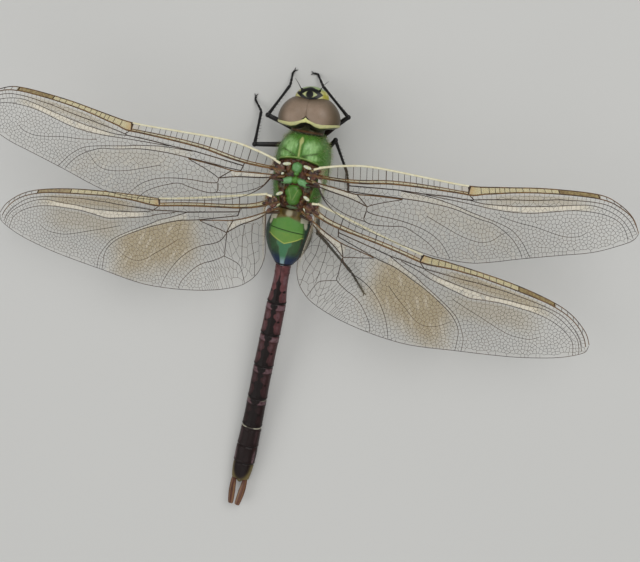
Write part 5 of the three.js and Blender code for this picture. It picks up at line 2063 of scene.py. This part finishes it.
class BuildNeck(bpy.types.Operator):
    """Build the neck"""

    bl_idname = "dragonfly.neck"
    bl_label = "Neck"

    def execute(self, context):
        build_neck(chosen("body"))
        return {"FINISHED"}


class BuildHead(bpy.types.Operator):
    """Build the head's shell, the face and the antennae"""

    bl_idname = "dragonfly.head"
    bl_label = "Head"

    def execute(self, context):
        build_capsule(chosen("body"))
        build_face(chosen("body"))
        build_antennae(chosen("body"))
        return {"FINISHED"}


class BuildEyes(bpy.types.Operator):
    """Build the two eyes"""

    bl_idname = "dragonfly.eyes"
    bl_label = "Eyes"

    def execute(self, context):
        build_eyes(chosen("body"))
        return {"FINISHED"}


class BuildWings(bpy.types.Operator):
    """Build the membranes, veins and root plates of the four wings"""

    bl_idname = "dragonfly.wings"
    bl_label = "Wings"

    def execute(self, context):
        build_wings(chosen("wings"), chosen("sizes"))
        return {"FINISHED"}


class BuildAbdomen(bpy.types.Operator):
    """Build the abdomen as one shell"""

    bl_idname = "dragonfly.abdomen"
    bl_label = "Abdomen"

    def execute(self, context):
        build_abdomen(chosen("tail"))
        return {"FINISHED"}


class BuildTail(bpy.types.Operator):
    """Build the end blades, the plates between them and the ovipositor"""

    bl_idname = "dragonfly.tail"
    bl_label = "End of the abdomen"

    def execute(self, context):
        for build in (build_cerci, build_end_plates, build_ovipositor):
            build(chosen("tail"))
        return {"FINISHED"}


class BuildLegs(bpy.types.Operator):
    """Build the six legs with their spines and claws"""

    bl_idname = "dragonfly.legs"
    bl_label = "Legs"

    def execute(self, context):
        build_legs(chosen("body"), chosen("sizes"))
        return {"FINISHED"}


class BuildDown(bpy.types.Operator):
    """Build the fine hair of the thorax"""

    bl_idname = "dragonfly.down"
    bl_label = "Down"

    def execute(self, context):
        build_down(chosen("body"), chosen("sizes"))
        return {"FINISHED"}


class BuildStage(bpy.types.Operator):
    """Build the floor, the lamps and the camera"""

    bl_idname = "dragonfly.stage"
    bl_label = "Stage"

    def execute(self, context):
        build_stage()
        return {"FINISHED"}


BUILDERS = (
    BuildThorax,
    BuildNeck,
    BuildHead,
    BuildEyes,
    BuildWings,
    BuildAbdomen,
    BuildTail,
    BuildLegs,
    BuildDown,
    BuildStage,
)
GROUPS = {
    "body": DragonflyBodyColours,
    "tail": DragonflyTailColours,
    "wings": DragonflyWingColours,
    "sizes": DragonflySizes,
}


class DragonflyPanel(bpy.types.Panel):
    """The dragonfly's pieces, colours and sizes"""

    bl_idname = "VIEW3D_PT_dragonfly"
    bl_label = "Green darner dragonfly"
    bl_space_type = "VIEW_3D"
    bl_region_type = "UI"
    bl_category = "Dragonfly"

    def draw(self, context):
        for builder in BUILDERS:
            self.layout.operator(builder.bl_idname)
        for group, kind in GROUPS.items():
            box = self.layout.box()
            box.label(text=kind.__doc__)
            for name in kind.__annotations__:
                box.prop(chosen(group), name)


def register():
    for kind in (*GROUPS.values(), *BUILDERS, DragonflyPanel):
        bpy.utils.register_class(kind)
    for group, kind in GROUPS.items():
        setattr(bpy.types.Scene, "dragonfly_" + group, bpy.props.PointerProperty(type=kind))


def unregister():
    for group in GROUPS:
        delattr(bpy.types.Scene, "dragonfly_" + group)
    for kind in (DragonflyPanel, *reversed(BUILDERS), *reversed(GROUPS.values())):
        bpy.utils.unregister_class(kind)


def main():
    register()
    for builder in BUILDERS:
        group, name = builder.bl_idname.split(".")
        getattr(getattr(bpy.ops, group), name)()
    sizes = {"cad": CAD_BOX, "visual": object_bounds()}
    {name: [list(corner) for corner in box] for name, box in sizes.items()}


if __name__ == "__main__":
    main()
